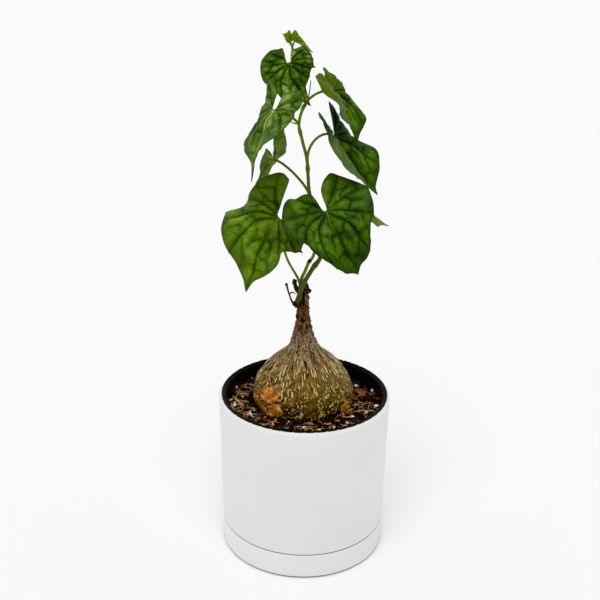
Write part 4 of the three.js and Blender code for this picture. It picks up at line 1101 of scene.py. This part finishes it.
# where a leaf's margin leaves the shared outline: degrees from the tip, and leaf lengths from the seat. The
# grown leaves' points were picked off the photograph by eye, and a script turned most into these units
margins = {
    "leaf_front_left": {
        "right": [(0, 0.985), (4, 0.92), (10, 0.85), (18, 0.795), (27, 0.772), (35, 0.76), (42, 0.738),
            (50, 0.713), (58, 0.692), (67, 0.697), (74, 0.738), (77, 0.73), (78.5, 0.66), (80.5, 0.56),
            (84.5, 0.534), (93.5, 0.559), (102, 0.566), (113.6, 0.555), (124, 0.562), (138, 0.565),
            (143.5, 0.555), (150, 0.53), (158, 0.51), (162.6, 0.447), (167.4, 0.353), (171, 0.264),
            (180, 0.13)],
        "left": [(0, 0.975), (4.2, 0.898), (8.9, 0.855), (14.8, 0.795), (20.5, 0.731), (26.5, 0.641),
            (30.7, 0.549), (34.1, 0.48), (40.3, 0.458), (51.1, 0.471), (62.2, 0.495), (72, 0.512),
            (74.5, 0.545), (77, 0.5), (80, 0.491), (92, 0.468)]},
    "leaf_front_right": {
        "right": [(0, 0.985), (2.5, 0.957), (6.5, 0.93), (12.5, 0.907), (17.3, 0.876), (24.5, 0.844),
            (31, 0.825), (36, 0.775), (40.5, 0.763), (46, 0.735), (49, 0.69), (52.5, 0.65), (55.4, 0.605),
            (60, 0.597), (66, 0.622), (71.4, 0.647), (76.6, 0.666), (82.8, 0.691), (88.2, 0.688),
            (95.2, 0.673), (103.4, 0.659), (113.2, 0.643), (122, 0.629), (127.4, 0.611), (133, 0.57),
            (135.5, 0.511), (138, 0.474), (144.1, 0.448), (152.8, 0.412), (162.6, 0.37), (170.8, 0.324),
            (176.2, 0.265), (180, 0.18)],
        "left": [(0, 0.985), (2.9, 0.954), (5.6, 0.914), (10.7, 0.883), (17.6, 0.868), (25, 0.844),
            (30.4, 0.823), (36.9, 0.805), (40.3, 0.758), (45, 0.72), (51.5, 0.69), (59, 0.685), (66.9, 0.678),
            (75.8, 0.674), (84.2, 0.674), (92.1, 0.68), (97.7, 0.683), (104.7, 0.644), (114.3, 0.607),
            (125.6, 0.577), (136.5, 0.569), (146, 0.564), (152.4, 0.555), (159.5, 0.502), (166.1, 0.445),
            (172.1, 0.371), (177.7, 0.288), (180, 0.17)]},
    "leaf_crest": {
        "right": [(0, 0.985), (3, 0.93), (7, 0.83), (12, 0.745), (20, 0.72), (30, 0.71), (36.4, 0.708),
            (41.7, 0.667), (47, 0.623), (56, 0.615), (66.4, 0.631), (73.8, 0.647), (82.4, 0.636),
            (93.9, 0.613), (111, 0.595), (129.4, 0.599), (143.8, 0.573), (153.9, 0.486), (164.2, 0.411),
            (174, 0.39), (177.5, 0.36), (180, 0.25)],
        "left": [(0, 0.985), (2.1, 0.938), (6.1, 0.843), (11.3, 0.732), (14.8, 0.653), (24.1, 0.603),
            (35.4, 0.561), (45, 0.515), (52.2, 0.5), (61, 0.505), (64, 0.53), (67.2, 0.596), (70, 0.55),
            (76, 0.545), (83.3, 0.56), (101.9, 0.617), (118.3, 0.645), (130.4, 0.618), (141, 0.591),
            (147.9, 0.545), (151.5, 0.451), (160, 0.374), (171.5, 0.311), (180, 0.17)]},
    "leaf_right_middle": {
        "left": [(0, 0.99), (2, 0.94), (8, 0.883), (15.3, 0.847), (22.9, 0.818), (32.1, 0.786),
            (40.2, 0.779), (47.2, 0.769), (54, 0.735), (61.5, 0.73), (70.8, 0.712), (79.5, 0.679), (88, 0.62),
            (98, 0.585), (108, 0.56), (120, 0.55), (135, 0.52), (148, 0.5), (158, 0.46), (160, 0.35),
            (163, 0.2), (180, 0.08)],
        "right": [(56, 0.745), (62.4, 0.705), (72.7, 0.671), (82.6, 0.662), (91.5, 0.624), (101.4, 0.578),
            (111, 0.53), (119.8, 0.56), (127.8, 0.6), (139, 0.575), (150, 0.565)]},
    "leaf_right_upper": {
        "left": [(42, 0.79), (45, 0.75), (52, 0.74), (62, 0.77), (68, 0.73), (76, 0.69), (84, 0.66),
            (89, 0.62), (97, 0.59), (104, 0.6), (115, 0.52), (127, 0.47), (140, 0.5), (150, 0.49),
            (160, 0.44), (170, 0.39), (180, 0.32)],
        "right": [(39, 0.78), (55, 0.8), (73, 0.82), (87, 0.78), (99, 0.77), (103, 0.79), (109, 0.77),
            (120, 0.69), (129, 0.66), (139, 0.64), (149, 0.55), (159, 0.49), (170, 0.45), (180, 0.4)]},
    "leaf_left_inner": {
        "left": [(102, 0.66), (117, 0.62), (132, 0.58), (142, 0.53), (151, 0.49), (158, 0.48), (160, 0.4),
            (162, 0.27), (166, 0.15), (180, 0.06)],
        "right": [(63, 0.65), (68, 0.62), (74, 0.66), (80, 0.67), (89, 0.61), (106, 0.58), (122, 0.61),
            (128, 0.66), (134, 0.65)]},
    "leaf_tip_left": {
        "left": [(0, 0.98), (10, 0.66), (30, 0.4), (60, 0.3), (120, 0.24), (180, 0.15)],
        "right": [(0, 0.98), (10, 0.86), (25, 0.86), (38, 1.02), (44, 1.12), (52, 0.9), (75, 0.62),
            (110, 0.42), (150, 0.3), (180, 0.15)]},
    "leaf_tip_right": {
        "left": [(0, 1.06), (5, 0.86), (15, 0.62), (36, 0.46), (60, 0.38), (82, 0.38), (105, 0.5),
            (121, 0.6), (135, 0.5), (158, 0.38), (180, 0.2)],
        "right": [(0, 1.06), (8, 0.8), (20, 0.6), (40, 0.46), (70, 0.38), (98, 0.36), (112, 0.36),
            (125, 0.32), (150, 0.25), (180, 0.12)]},
}


# smooth reading of values between places, with no overshoot
def softRead(at, values, x):
    at, values = np.array(at, float), np.array(values, float)
    slope = np.diff(values) / np.diff(at)
    ends = np.zeros(len(values))
    same = slope[1:] * slope[:-1] > 0
    ends[1:-1][same] = 2 * slope[1:][same] * slope[:-1][same] / (slope[1:] + slope[:-1])[same]
    ends[0] = slope[0]
    i = np.clip(np.searchsorted(at, x) - 1, 0, len(at) - 2)
    h = at[i + 1] - at[i]
    t = np.clip((x - at[i]) / h, 0, 1)
    near = values[i] * (1 + 2 * t) * (1 - t) ** 2 + ends[i] * h * t * (1 - t) ** 2
    return near + values[i + 1] * t * t * (3 - 2 * t) + ends[i + 1] * h * t * t * (t - 1)


# how far round its seat a point lies, once the lobes stand open there
def bentTurn(leaf, side, a, r):
    sinus = leaf["sinus"][side]
    rounding = leaf["sinus"].get("round", blade["sinusRound"])
    opening = math.pi - np.arcsin(np.minimum(0.95, sinus / (r + rounding * sinus)))
    turn = np.radians(a)
    spread = math.pi / 2
    return np.where(turn < spread, turn, spread + (turn - spread) / spread * (opening - spread))


# one side's margin, as [degrees, leaf lengths]: its own points, and the shared outline where it has none
def marginOf(name, leaf, side):
    reach = np.interp(blade["columns"], blade["reachAt"], [1] + leaf["reach"][side])
    shared = list(zip(blade["columns"], readPairs(blade["outline"], blade["columns"]) * reach))
    own = margins.get(name, {}).get(side)
    if not own:
        return shared
    low, high = own[0][0] - 6, own[-1][0] + 6
    return [p for p in shared if p[0] < low] + own + [p for p in shared if p[0] > high]


# the flat leaf: each column's distance from the seat and its turn about it, and the same with arched ribs
def flatLeaf(name, leaf, degrees, part):
    a = np.abs(degrees)
    arch = blade["arch"] * (part - 0.25) * np.sin(np.radians(a)) ** 0.7
    r, bent, swept = (np.zeros(len(a)) for _ in range(3))
    for side, mask in (("left", degrees <= 0), ("right", degrees > 0)):
        q = part[mask]
        edge = softRead(*zip(*marginOf(name, leaf, side)), a[mask])
        tail = np.exp(-(a[mask] / 2.2) ** 1.4) * leaf["tail"] / leaf["length"]
        if name not in margins:
            teeth = sum(np.exp(-(np.abs(a[mask] - v) / 3.2) ** 1.5) for v in blade["veins"][1:5])
            tail += teeth * blade["tooth"]
        r[mask] = q * edge + q ** 7 * tail
        bent[mask] = bentTurn(leaf, side, a[mask], r[mask])
        swept[mask] = bentTurn(leaf, side, a[mask] + arch[mask], r[mask])
    sign = np.sign(degrees)
    flat = np.stack([r * np.sin(bent) * sign, r * np.cos(bent)], 1)
    arched = np.stack([r * np.sin(swept) * sign, r * np.cos(swept)], 1)
    return flat, arched, a + arch


# vein lines in millimetres from the seat: main ribs, their branches, and the loops that join these
def veinLines(name, leaf, rng):
    length, lines = leaf["length"], []
    branch = blade["branch"] * (0.5 + 0.5 * length / 45)
    for sign, side in ((-1, "left"), (1, "right")):
        turns = [float(bentTurn(leaf, side, v, 0.5)) for v in blade["veins"]]
        edges = softRead(*zip(*marginOf(name, leaf, side)), np.array(blade["veins"], float)) * length

        def at(turn, reach):
            return (sign * math.sin(turn) * reach, math.cos(turn) * reach)
        for k, turn in enumerate(turns[:5]):
            edge = edges[k]
            if sign > 0 or k:
                main = [at(turn, edge * q) for q in np.linspace(0, 1.05, blade["ribPoints"])]
                lines.append((blade["veinStrength"][k], main))
            for way in (-1, 1):
                if not 0 <= k + way <= 5 or (k == 4 and way > 0):
                    continue
                gap = (turns[k + way] - turn) * (0.5 if k + way else 0.6)
                reach = branch * rng.uniform(0.8, 1.2) + 0.1 * edge
                while reach < edge * 0.94:
                    share, onward = rng.uniform(0.85, 1.1), rng.uniform(0.55, 0.95)
                    run = []
                    for u in np.linspace(0, 1, 9):
                        swing = gap * share * math.sin(u * math.pi / 2) ** 1.1
                        run.append(at(turn + swing, reach + abs(gap) * reach * onward * u ** 1.5))
                    last = reach + abs(gap) * reach * onward
                    run.append(at(turn + gap * share, last + branch * 0.35))
                    lines.append((rng.uniform(0.55, 0.85), run))
                    reach += branch * rng.uniform(0.75, 1.35)
    return lines


# how deep each point lies in a vein, narrow and broad, and how near it is to a main rib
def veinDepths(name, leaf, arched, pale):
    scale = 0.5 + 0.5 * leaf["length"] / 45
    rng = np.random.default_rng(int(abs(sum(leaf["at"])) * 10))
    spots = np.c_[arched, np.zeros(len(arched))]
    along = np.linalg.norm(spots, axis=1) / leaf["length"]
    away = ease(along * 4)
    ribSpots = spots[:, :2] + np.stack([swell(spots, 28, s) * 1.1 for s in (5, 6)], 1) * away[:, None]
    sideSpots = ribSpots + np.stack([swell(spots, 9, s) * 0.45 for s in (1, 2)], 1)
    narrow, broad, rib = (np.zeros(len(spots)) for _ in range(3))
    for strength, run in veinLines(name, leaf, rng):
        run = np.array(run)
        far = np.full(len(spots), 99.0)
        spots = ribSpots if len(run) == blade["ribPoints"] else sideSpots
        for a, b in zip(run[:-1], run[1:]):
            share = np.clip((spots - a) @ (b - a) / ((b - a) @ (b - a)), 0, 1)
            far = np.minimum(far, np.linalg.norm(spots - a - share[:, None] * (b - a), axis=1))
        fade = strength * (1 - 0.45 * np.clip(along, 0, 1))
        width = (0.6 if strength > 0.9 else 0.48) * scale
        narrow = np.maximum(narrow, fade * np.exp(-(far / width) ** 2))
        broad = np.maximum(broad, fade * np.exp(-(far / (1.8 * scale)) ** 2) * (0.2 + 0.8 * away))
        if strength > 0.9:
            middle = abs(run[-1, 0]) < 0.1
            paled = np.clip((pale - along) * 4, 0, 1) if middle else np.clip(pale * 0.8 - along * 4, 0, 1)
            rib = np.maximum(rib, np.exp(-(far / 0.3) ** 2) * paled * min(1, 0.35 + 0.7 * pale))
    return narrow, broad, rib


# the flat leaf's points, folded and curled about its bent midrib, as in the solids
def foldLeaf(leaf, across, ahead):
    along = unit(np.array(leaf["along"], float))
    face = np.array(leaf["face"], float)
    face = unit(face - along * face.dot(along))
    start = (np.array(leaf["at"], float), along, np.cross(along, face), face)
    length = leaf["length"]

    def march(sign, steps, reach, droop, swing, twist):
        run = [start]
        for i in range(steps):
            at, forward, side, up = run[-1]
            bend = droop((i + 0.5) / steps) / steps * sign
            onward = forward - up * bend
            tipped = up + forward * bend
            swung = side - onward * (swing / steps)
            onward = unit(onward + side * (swing / steps))
            tipped = tipped - swung * (twist / steps)
            tipped = unit(tipped - onward * tipped.dot(onward))
            at = at + (forward + onward) * (sign * reach / steps / 2)
            run.append((at, onward, np.cross(onward, tipped), tipped))
        return [np.array(column) for column in zip(*run)]

    first, growth, back = leaf["droop"]
    front = march(1, 32, length, lambda x: first + growth * x, leaf["swing"], leaf["twist"])
    rear = march(-1, 16, blade["backReach"] * length, lambda x: back, 0, 0)
    stations = np.r_[-np.linspace(0, blade["backReach"], 17)[:0:-1], np.linspace(0, 1, 33)]
    fields = [np.vstack([r[:0:-1], f]) for r, f in zip(rear, front)]
    spine, forward, side, up = (
        np.stack([np.interp(ahead, stations, field[:, k]) for k in range(3)], 1) for field in fields)
    spine += forward * (np.maximum(0, ahead - 1) * length)[:, None]
    right = (across > 0)[:, None]
    folds = np.where(right, leaf["fold"]["right"], leaf["fold"]["left"])
    curls = np.where(right, leaf["curl"]["right"], leaf["curl"]["left"])
    share = ease(np.where(ahead < 0, -ahead / blade["foldReach"], ahead))
    fold = folds[:, 1] + (np.where(ahead < 0, folds[:, 0], folds[:, 2]) - folds[:, 1]) * share
    curl = np.where(ahead < 0, curls[:, 0], curls[:, 0] + (curls[:, 1] - curls[:, 0]) * ease(ahead))
    s = np.abs(across)[:, None] * (np.arange(12) + 0.5) / 12
    angle = fold[:, None] * (1 - np.exp(-s / blade["foldWidth"])) + curl[:, None] * s / blade["curlReach"]
    out = np.cos(angle).mean(1) * across * length
    rise = np.sin(angle).mean(1) * np.abs(across) * length
    return spine + side * out[:, None] + up * rise[:, None]


# leaf skin: a waxed blade, deep green along the sunken veins and puffed and paler between them; the dark
# along the veins is partly painted shade and the palest tone on the puffs is a painted highlight. Its far
# half (side) has its own tone where it is folded up, a pale tone on two leaves and painted shade on the pale
# leaf; so have the lobes behind the seat (base), and the tail is withered; an underside is dull, with the
# veins the palest. Sizes are in millimetres
leafNet = {
    "loop": 3.6,
    "loopDepth": 0.14,
    "swirl": 4,
    "grain": 0.8,
    # the size of the patches of painted light and shade that drift over the blade
    "patch": 9,
    "level": 0.01,
    # how far the tone falls along the veins, broad and narrow: partly painted shade in the sunken veins
    "broad": -0.31,
    "narrow": -0.46,
}
# in the upper skins the vein and low tones are partly painted shade, and the high tone is a painted highlight
# on the puffs
deepGreen = {"vein": "#0e2200", "low": "#213e00", "mid": "#3a5e00", "high": "#668a10", "rib": "#86a030",
             "tail": "#1e1a08"}
# the upper skins are lighter and darker copies of one green, one for each group of leaves, set to how lit
# each group stands: partly painted light and shade; the crest's whitish high tone is a painted highlight
leafTones = {
    "waxedLeafDeep": deepGreen,
    "waxedLeafFolded": {**deepGreen, "shine": 0.03, "side": "#5e7a3c", "base": "#566a00"},
    "waxedLeafPaleHalf": {**deepGreen, "shine": 0.03, "side": "#5e783a"},
    "waxedLeafMid": {"vein": "#1e3600", "low": "#3a5600", "mid": "#587800", "high": "#88a42c",
                     "rib": "#a2b83c"},
    "waxedLeafCrest": {"vein": "#102c00", "low": "#2c4e00", "mid": "#527a04", "high": "#bcd07c",
                       "rib": "#a4ba50", "tail": "#1e1a08", "rough": 0.38},
    "waxedLeafFresh": {"vein": "#123000", "low": "#2c4c00", "mid": "#486c02", "high": "#7c9c30",
                       "rib": "#a4ba50", "tail": "#1e1a08"},
    # its side tone darkens the folded half: painted shade
    "waxedLeafPale": {"vein": "#162e02", "low": "#345208", "mid": "#5a7818", "high": "#9cb662",
                      "rib": "#b8c884", "tail": "#1e1a08", "side": "#304e06", "rough": 0.45},
    "leafUnderside": {"vein": "#9cac50", "low": "#70882a", "mid": "#5e7618", "high": "#4a600c",
                      "rib": "#b8c480", "rough": 0.6},
    "leafUndersideYellow": {"vein": "#8a942c", "low": "#627a10", "mid": "#567006", "high": "#4c6602",
                            "rib": "#a6b248", "rough": 0.6},
    "youngLeaf": {"vein": "#4a6000", "low": "#5a7200", "mid": "#6c8600", "high": "#889e14",
                  "rib": "#9cb03c", "rough": 0.45},
}


def leafSkin(name, tones):
    mat, tree, shader, inMm = newMaterial(name)
    veins, flat, edge, cast = (addNode(tree, "Attribute", attribute_name=key).outputs
                               for key in ("veins", "flat", "edge", "cast"))
    depth = addNode(tree, "SeparateXYZ", {0: veins["Vector"]}).outputs
    cast = addNode(tree, "SeparateXYZ", {0: cast["Vector"]}).outputs
    flat = flat["Vector"]
    # the fine net between the side veins: swirled loops, and a grain of less than 1 mm
    swirl = addNode(tree, "TexNoise", {"Vector": flat, "Scale": 1 / leafNet["swirl"], "Detail": 2.0})
    aside = (leafNet["swirl"], leafNet["swirl"], 0)
    swirled = addNode(tree, "VectorMath", {0: swirl.outputs["Color"], 1: aside, 2: flat},
                      operation="MULTIPLY_ADD")
    cells = addNode(tree, "TexVoronoi", {
        "Vector": swirled, "Scale": 1 / leafNet["loop"], "Randomness": 1.0}, feature="DISTANCE_TO_EDGE")
    mesh = addNode(tree, "MapRange", {
        "Value": cells, "From Max": 0.22, "To Min": leafNet["loopDepth"], "To Max": 0.0},
        interpolation_type="SMOOTHSTEP")
    fine = addNode(tree, "TexNoise", {"Vector": flat, "Scale": 1 / leafNet["grain"], "Detail": 3.0})
    paintedLightPatches = addNode(tree, "TexNoise", {"Vector": flat, "Scale": 1 / leafNet["patch"], "Detail": 2.0})
    # the tone falls in the veins, partly as painted shade, and drifts over the blade in patches of painted
    # light and shade
    tone = leafNet["level"]
    for value, most in ((depth["Y"], leafNet["broad"]), (depth["X"], leafNet["narrow"]),
                        (mesh, -1.0), (fine, 0.24), (paintedLightPatches, 1.15)):
        tone = addNode(tree, "Math", {0: value, 1: most, 2: tone}, operation="MULTIPLY_ADD")
    stops = [(0.0, tones["vein"]), (0.3, tones["low"]), (0.6, tones["mid"]), (1.0, tones["high"])]
    colour = addNode(tree, "ValToRGB", {"Fac": tone}, stops)
    for key, place, most in (("low", edge["Fac"], 1.0), ("side", cast["X"], 0.55), ("base", cast["Y"], 0.7),
                             ("tail", cast["Z"], 0.9), ("rib", depth["Z"], 1.0)):
        if key in tones:
            cover = addNode(tree, "Math", {0: place, 1: most}, operation="MULTIPLY")
            colour = addNode(tree, "Mix", {0: cover, 6: colour, 7: tones[key]}, data_type="RGBA")
    relief = addNode(tree, "Math", {0: fine, 1: 0.25, 2: tone}, operation="MULTIPLY_ADD")
    # the wax shines on the puffs and is dull along the veins
    shine = addNode(tree, "MapRange", {
        "Value": depth["Y"], "From Max": 0.6, "To Min": tones.get("shine", 0.13), "To Max": 0.02})
    finishSkin(tree, shader, colour, relief, 0.45, 0.7, {
        "Roughness": tones.get("rough", 0.4), "IOR": 1.45, "Specular IOR Level": shine})
    return mat


skins = {name: leafSkin(name, tones) for name, tones in leafTones.items()}
# the petioles: living green stalks, yellower at the foot of the plant
petioleTones = [(0.0, "#747e06"), (0.3, "#707e04"), (0.5, "#5e7404"), (1.0, "#6c8c10")]
petioleSkin = stemMaterial("greenPetioleSkin", petioleTones, 180.0, 340.0)

# each leaf's upper and lower skin, how fine its mesh is (across a sector, and along), how much of its midrib
# is pale
dress = {
    "leaf_crest": ("waxedLeafCrest", "leafUnderside", 20, 56, 0.05),
    "leaf_left_upper": ("waxedLeafPale", "leafUnderside", 20, 56, 0.95),
    "leaf_right_upper": ("waxedLeafFolded", "leafUndersideYellow", 20, 56, 0.3),
    "leaf_right_middle": ("waxedLeafPaleHalf", "leafUnderside", 22, 60, 0.2),
    "leaf_left_inner": ("waxedLeafFresh", "leafUnderside", 20, 56, 0.4),
    "leaf_front_left": ("waxedLeafMid", "leafUnderside", 28, 84, 0.4),
    "leaf_front_right": ("waxedLeafDeep", "leafUnderside", 28, 84, 0.45),
    "leaf_back_right": ("youngLeaf", "leafUndersideYellow", 18, 50, 0.3),
    "leaf_tip_left": ("youngLeaf", "youngLeaf", 6, 14, 0.5),
    "leaf_tip_right": ("youngLeaf", "youngLeaf", 8, 18, 0.5),
}


def makeLeaf(name, leaf):
    upper, under, sectors, rings, pale = dress[name]
    young = "quilt" in leaf
    steps = [sectors + 4, sectors, sectors, sectors - 2, max(4, sectors // 2)]
    spans = zip(blade["veins"], blade["veins"][1:], steps)
    half = np.concatenate([np.linspace(a, b, n, endpoint=False) for a, b, n in spans] + [[180]])
    turns = np.concatenate([-half[:0:-1], half])
    piece = begin(name + "_blade", bpy.ops.mesh.primitive_grid_add,
                  x_subdivisions=len(turns) - 1, y_subdivisions=rings, size=1)
    grid = places(piece)
    degrees = turns[np.rint((grid[:, 0] + 0.5) * (len(turns) - 1)).astype(int)]
    part = (grid[:, 1] + 0.5) ** 0.92
    flat, arched, a = flatLeaf(name, leaf, degrees, part)
    setPlaces(piece, foldLeaf(leaf, flat[:, 0], flat[:, 1]) * mm)
    normals = np.empty(len(grid) * 3, np.float32)
    piece.data.vertex_normals.foreach_get("vector", normals)
    normals = normals.reshape(-1, 3).astype(float)
    face = unit(np.array(leaf["face"], float))
    near = (part > 0.03) & (part < 0.15)
    flipped = (normals[near] @ face).mean() < 0
    if flipped:
        normals = -normals
    veins = np.array(blade["veins"])
    sector = np.clip(np.searchsorted(veins, a, side="right") - 1, 0, 4)
    between = np.abs(np.sin(math.pi * (a - veins[sector]) / (veins[sector + 1] - veins[sector])))
    quilt = leaf.get("quilt", blade["quilt"])
    wave = np.sin(np.radians(degrees) * 6) * part ** 4 * blade["wave"]
    lift = quilt * (between * softRead(*zip(*blade["ridge"]), part) + wave)
    length = leaf["length"]
    narrow, broad, rib = veinDepths(name, leaf, arched * length, pale)
    bulge = (1 - broad) * ease((part - 0.04) * 7) * (1 - 0.5 * part ** 8)
    lift = (lift + blade["puff"] * (quilt / blade["quilt"]) * (bulge - 0.6)) * ease(part * 5)
    setPlaces(piece, places(piece) + normals * (lift * mm)[:, None])
    setAttribute(piece, "veins", np.stack([narrow, broad, rib], 1))
    seed = np.full(len(flat), float(sum(leaf["at"])) * 7)
    setAttribute(piece, "flat", np.c_[flat * length, seed])
    setAttribute(piece, "edge", part ** 10)
    half, behind = ease(flat[:, 0] * 9 - 0.2), ease(0.1 - flat[:, 1] * 8)
    beyond = ease((np.linalg.norm(flat, axis=1) - 1) * 14)
    setAttribute(piece, "cast", np.stack([half * (1 - behind), behind, beyond], 1))
    bpy.ops.object.mode_set(mode="EDIT")
    bpy.ops.mesh.select_all(action="SELECT")
    bpy.ops.mesh.remove_doubles(threshold=2 * mergeReach)
    if flipped:
        bpy.ops.mesh.flip_normals()
    bpy.ops.object.mode_set(mode="OBJECT")
    for skin in (skins[upper], skins[under], petioleSkin):
        piece.data.materials.append(skin)
    thicken(piece, blade["thick"], material_offset=1, material_offset_rim=0)
    radii = [0.55, 0.5] if young else [0.9, 0.8, 0.78, 0.8]
    seat = np.array(leaf["at"]) - face * (0.1 if young else 0.5)
    stalk = stemThrough("stalk", leaf["petiole"] + [list(seat)], radii, 20 if young else 70, 14,
                        [(0.0, 0.35, 0.03), (1.0, 0.2, 0.04)])
    for polygon in stalk.data.polygons:
        polygon.material_index = 2
    for skin in piece.data.materials:
        stalk.data.materials.append(skin)
    joined = joinPieces(name + "_grown", [piece, stalk])
    joined.data.shade_smooth()
    settle(joined, "young_leaf" if young else "leaf_green", name)


for leafName, leafShape in leaves.items():
    makeLeaf(leafName, leafShape)
for leafName, leafShape in youngLeaves.items():
    fold, reach = [leafShape["fold"]] * 3, [0.8, 0.7, 0.6, 0.6, 0.6, 0.8]
    makeLeaf(leafName, {
        **leafShape, "fold": {"left": fold, "right": fold}, "droop": [0.1, 0.2, 0], "swing": 0, "twist": 0,
        "reach": {"left": reach, "right": reach}, "curl": {"left": [0, 0], "right": [0, 0]},
        "sinus": {"left": 0.12, "right": 0.12}, "tail": 0.4, "quilt": 0.2})
print("leaves unfolded")


# dry leaf flakes that lie against the caudex, by angle round its axis and height; waves round the rim, each
# with its strength, tear its edge
flakes = {
    "dry_flake_upper": {
        "turn": [3.8, 4.22], "height": [111, 123.6], "clear": 0.6, "curl": 2.2, "ragged": 0.09, "seed": 4},
    "dry_flake_lower": {
        "turn": [3.98, 4.34], "height": [103.2, 113], "clear": 0.5, "curl": 2.4, "ragged": 0.12, "seed": 9},
    "dry_scrap_right": {
        "turn": [5.44, 5.7], "height": [101.2, 113], "clear": 1.5, "curl": 2.4, "ragged": 0.34, "seed": 14},
}
flakeTones = [(0.3, "#4a2408"), (0.43, "#a05a0c"), (0.57, "#d68e28"), (0.72, "#f4cc8a")]
scrapTones = [(0.3, "#74400e"), (0.45, "#bc7826"), (0.6, "#e4a656"), (0.75, "#fadcaa")]
tears = ((2, 0.8), (3, 0.7), (5, 0.5), (9, 0.4), (14, 0.3))


# dead leaf: papery and cracked, mottled every 3 mm, with its net of veins left darker
def dryLeafSkin(name, stops):
    mat, tree, shader, inMm = newMaterial(name)
    noise = addNode(tree, "TexNoise", {"Vector": inMm, "Scale": 0.35, "Detail": 5.0, "Roughness": 0.65})
    colour = addNode(tree, "ValToRGB", {"Fac": noise}, stops)
    cells = addNode(tree, "TexVoronoi", {"Vector": inMm, "Scale": 0.4}, feature="DISTANCE_TO_EDGE")
    vein = addNode(tree, "MapRange", {"Value": cells, "From Max": 0.05, "To Min": 0.8, "To Max": 0.0})
    colour = addNode(tree, "Mix", {0: vein, 6: colour, 7: "#341604"}, data_type="RGBA")
    finishSkin(tree, shader, colour, noise, 0.8, 0.8, {"Roughness": 0.6, "Specular IOR Level": 0.15})
    return mat


def makeFlakes():
    # orange brown where it dried in the shade of the leaves, and bleached to straw where light fell on it
    orange, bleached = dryLeafSkin("dryPaperyLeaf", flakeTones), dryLeafSkin("dryBleachedLeaf", scrapTones)
    for name, flake in flakes.items():
        piece = begin(name + "_papery", bpy.ops.mesh.primitive_grid_add,
                      x_subdivisions=48, y_subdivisions=40, size=2)
        grid = places(piece)
        # the square sheet is rounded off and torn along its edge
        u, v = grid[:, 0], grid[:, 1]
        around = np.arctan2(v, u)
        torn = 1 + flake["ragged"] * sum(np.sin(k * around + flake["seed"] * k) * w for k, w in tears)
        reach = np.maximum(np.abs(u), np.abs(v)) * torn * (1 - 0.12 * np.cos(4 * around) ** 2)
        u, v = np.cos(around) * reach, np.sin(around) * reach
        low, high = flake["height"]
        z = (low + high) / 2 + (high - low) / 2 * v + 0.6 * np.sin(2.5 * u)
        away = flake["clear"] + flake["curl"] * u ** 2 * (0.7 + 0.3 * v)
        away = away + 0.5 * (1 + np.sin(3.5 * u + 2 * v))
        start, end = flake["turn"]
        co = caudexPoint(z, (start + end) / 2 + (end - start) / 2 * u, away)
        co += (swell(co, 4, 91) * 0.25 + swell(co, 1.8, 92) * 0.15)[:, None] * np.array([-0.5, -0.8, 0.2])
        setPlaces(piece, co * mm)
        thicken(piece, 0.35)
        isFlake = name.startswith("dry_flake")
        piece.data.materials.append(orange if isFlake else bleached)
        settle(piece, "dry_leaf", *([name] if isFlake else []))


makeFlakes()
print("dry flakes laid")


# plain studio: pale floor and an even white surround, brighter at the sides and back, with a soft top light
studio = {
    "floor": "#f5f5f5",
    "floorSize": 14,
    "surround": 0.42,
    "sides": 0.36,
    "back": 0.28,
    "above": 0.1,
    "sunFrom": (-0.06, -0.45, 0.88),
    "sunWidth": 42,
    "sunPower": 1.45,
}


def makeStudio():
    scene = bpy.context.scene
    floor = begin("studio_floor", bpy.ops.mesh.primitive_plane_add, size=studio["floorSize"])
    # a sweep of matt background paper: even and without shine
    mat, tree, shader, _ = newMaterial("paleStudioPaper")
    wire(tree, shader, {"Base Color": studio["floor"], "Roughness": 0.9, "Specular IOR Level": 0.0})
    floor.data.materials.append(mat)
    scene.world = bpy.data.worlds.new("studio")
    scene.world.use_nodes = True
    tree = scene.world.node_tree
    towards = addNode(tree, "SeparateXYZ", {0: addNode(tree, "TexCoord").outputs["Generated"]}).outputs
    aside = addNode(tree, "Math", {0: towards["X"]}, operation="ABSOLUTE")
    strength = studio["surround"]
    for way, key in ((aside, "sides"), (towards["Y"], "back"), (towards["Z"], "above")):
        strength = addNode(tree, "Math", {0: way, 1: studio[key], 2: strength}, operation="MULTIPLY_ADD")
    wire(tree, tree.nodes["Background"], {"Color": "#ffffff", "Strength": strength})
    # a big softbox far off acts as a wide soft sun: the same on the pot as on the floor behind
    bpy.ops.object.light_add(type="SUN")
    lamp = bpy.context.object
    lamp.name = "topSoftbox"
    lamp.data.energy = studio["sunPower"]
    lamp.data.angle = math.radians(studio["sunWidth"])
    lamp.rotation_euler = (-Vector(studio["sunFrom"])).to_track_quat("-Z", "Y").to_euler()
    scene.view_settings.view_transform = "Standard"
    scene.view_settings.look = "None"


makeStudio()
print("studio lit")
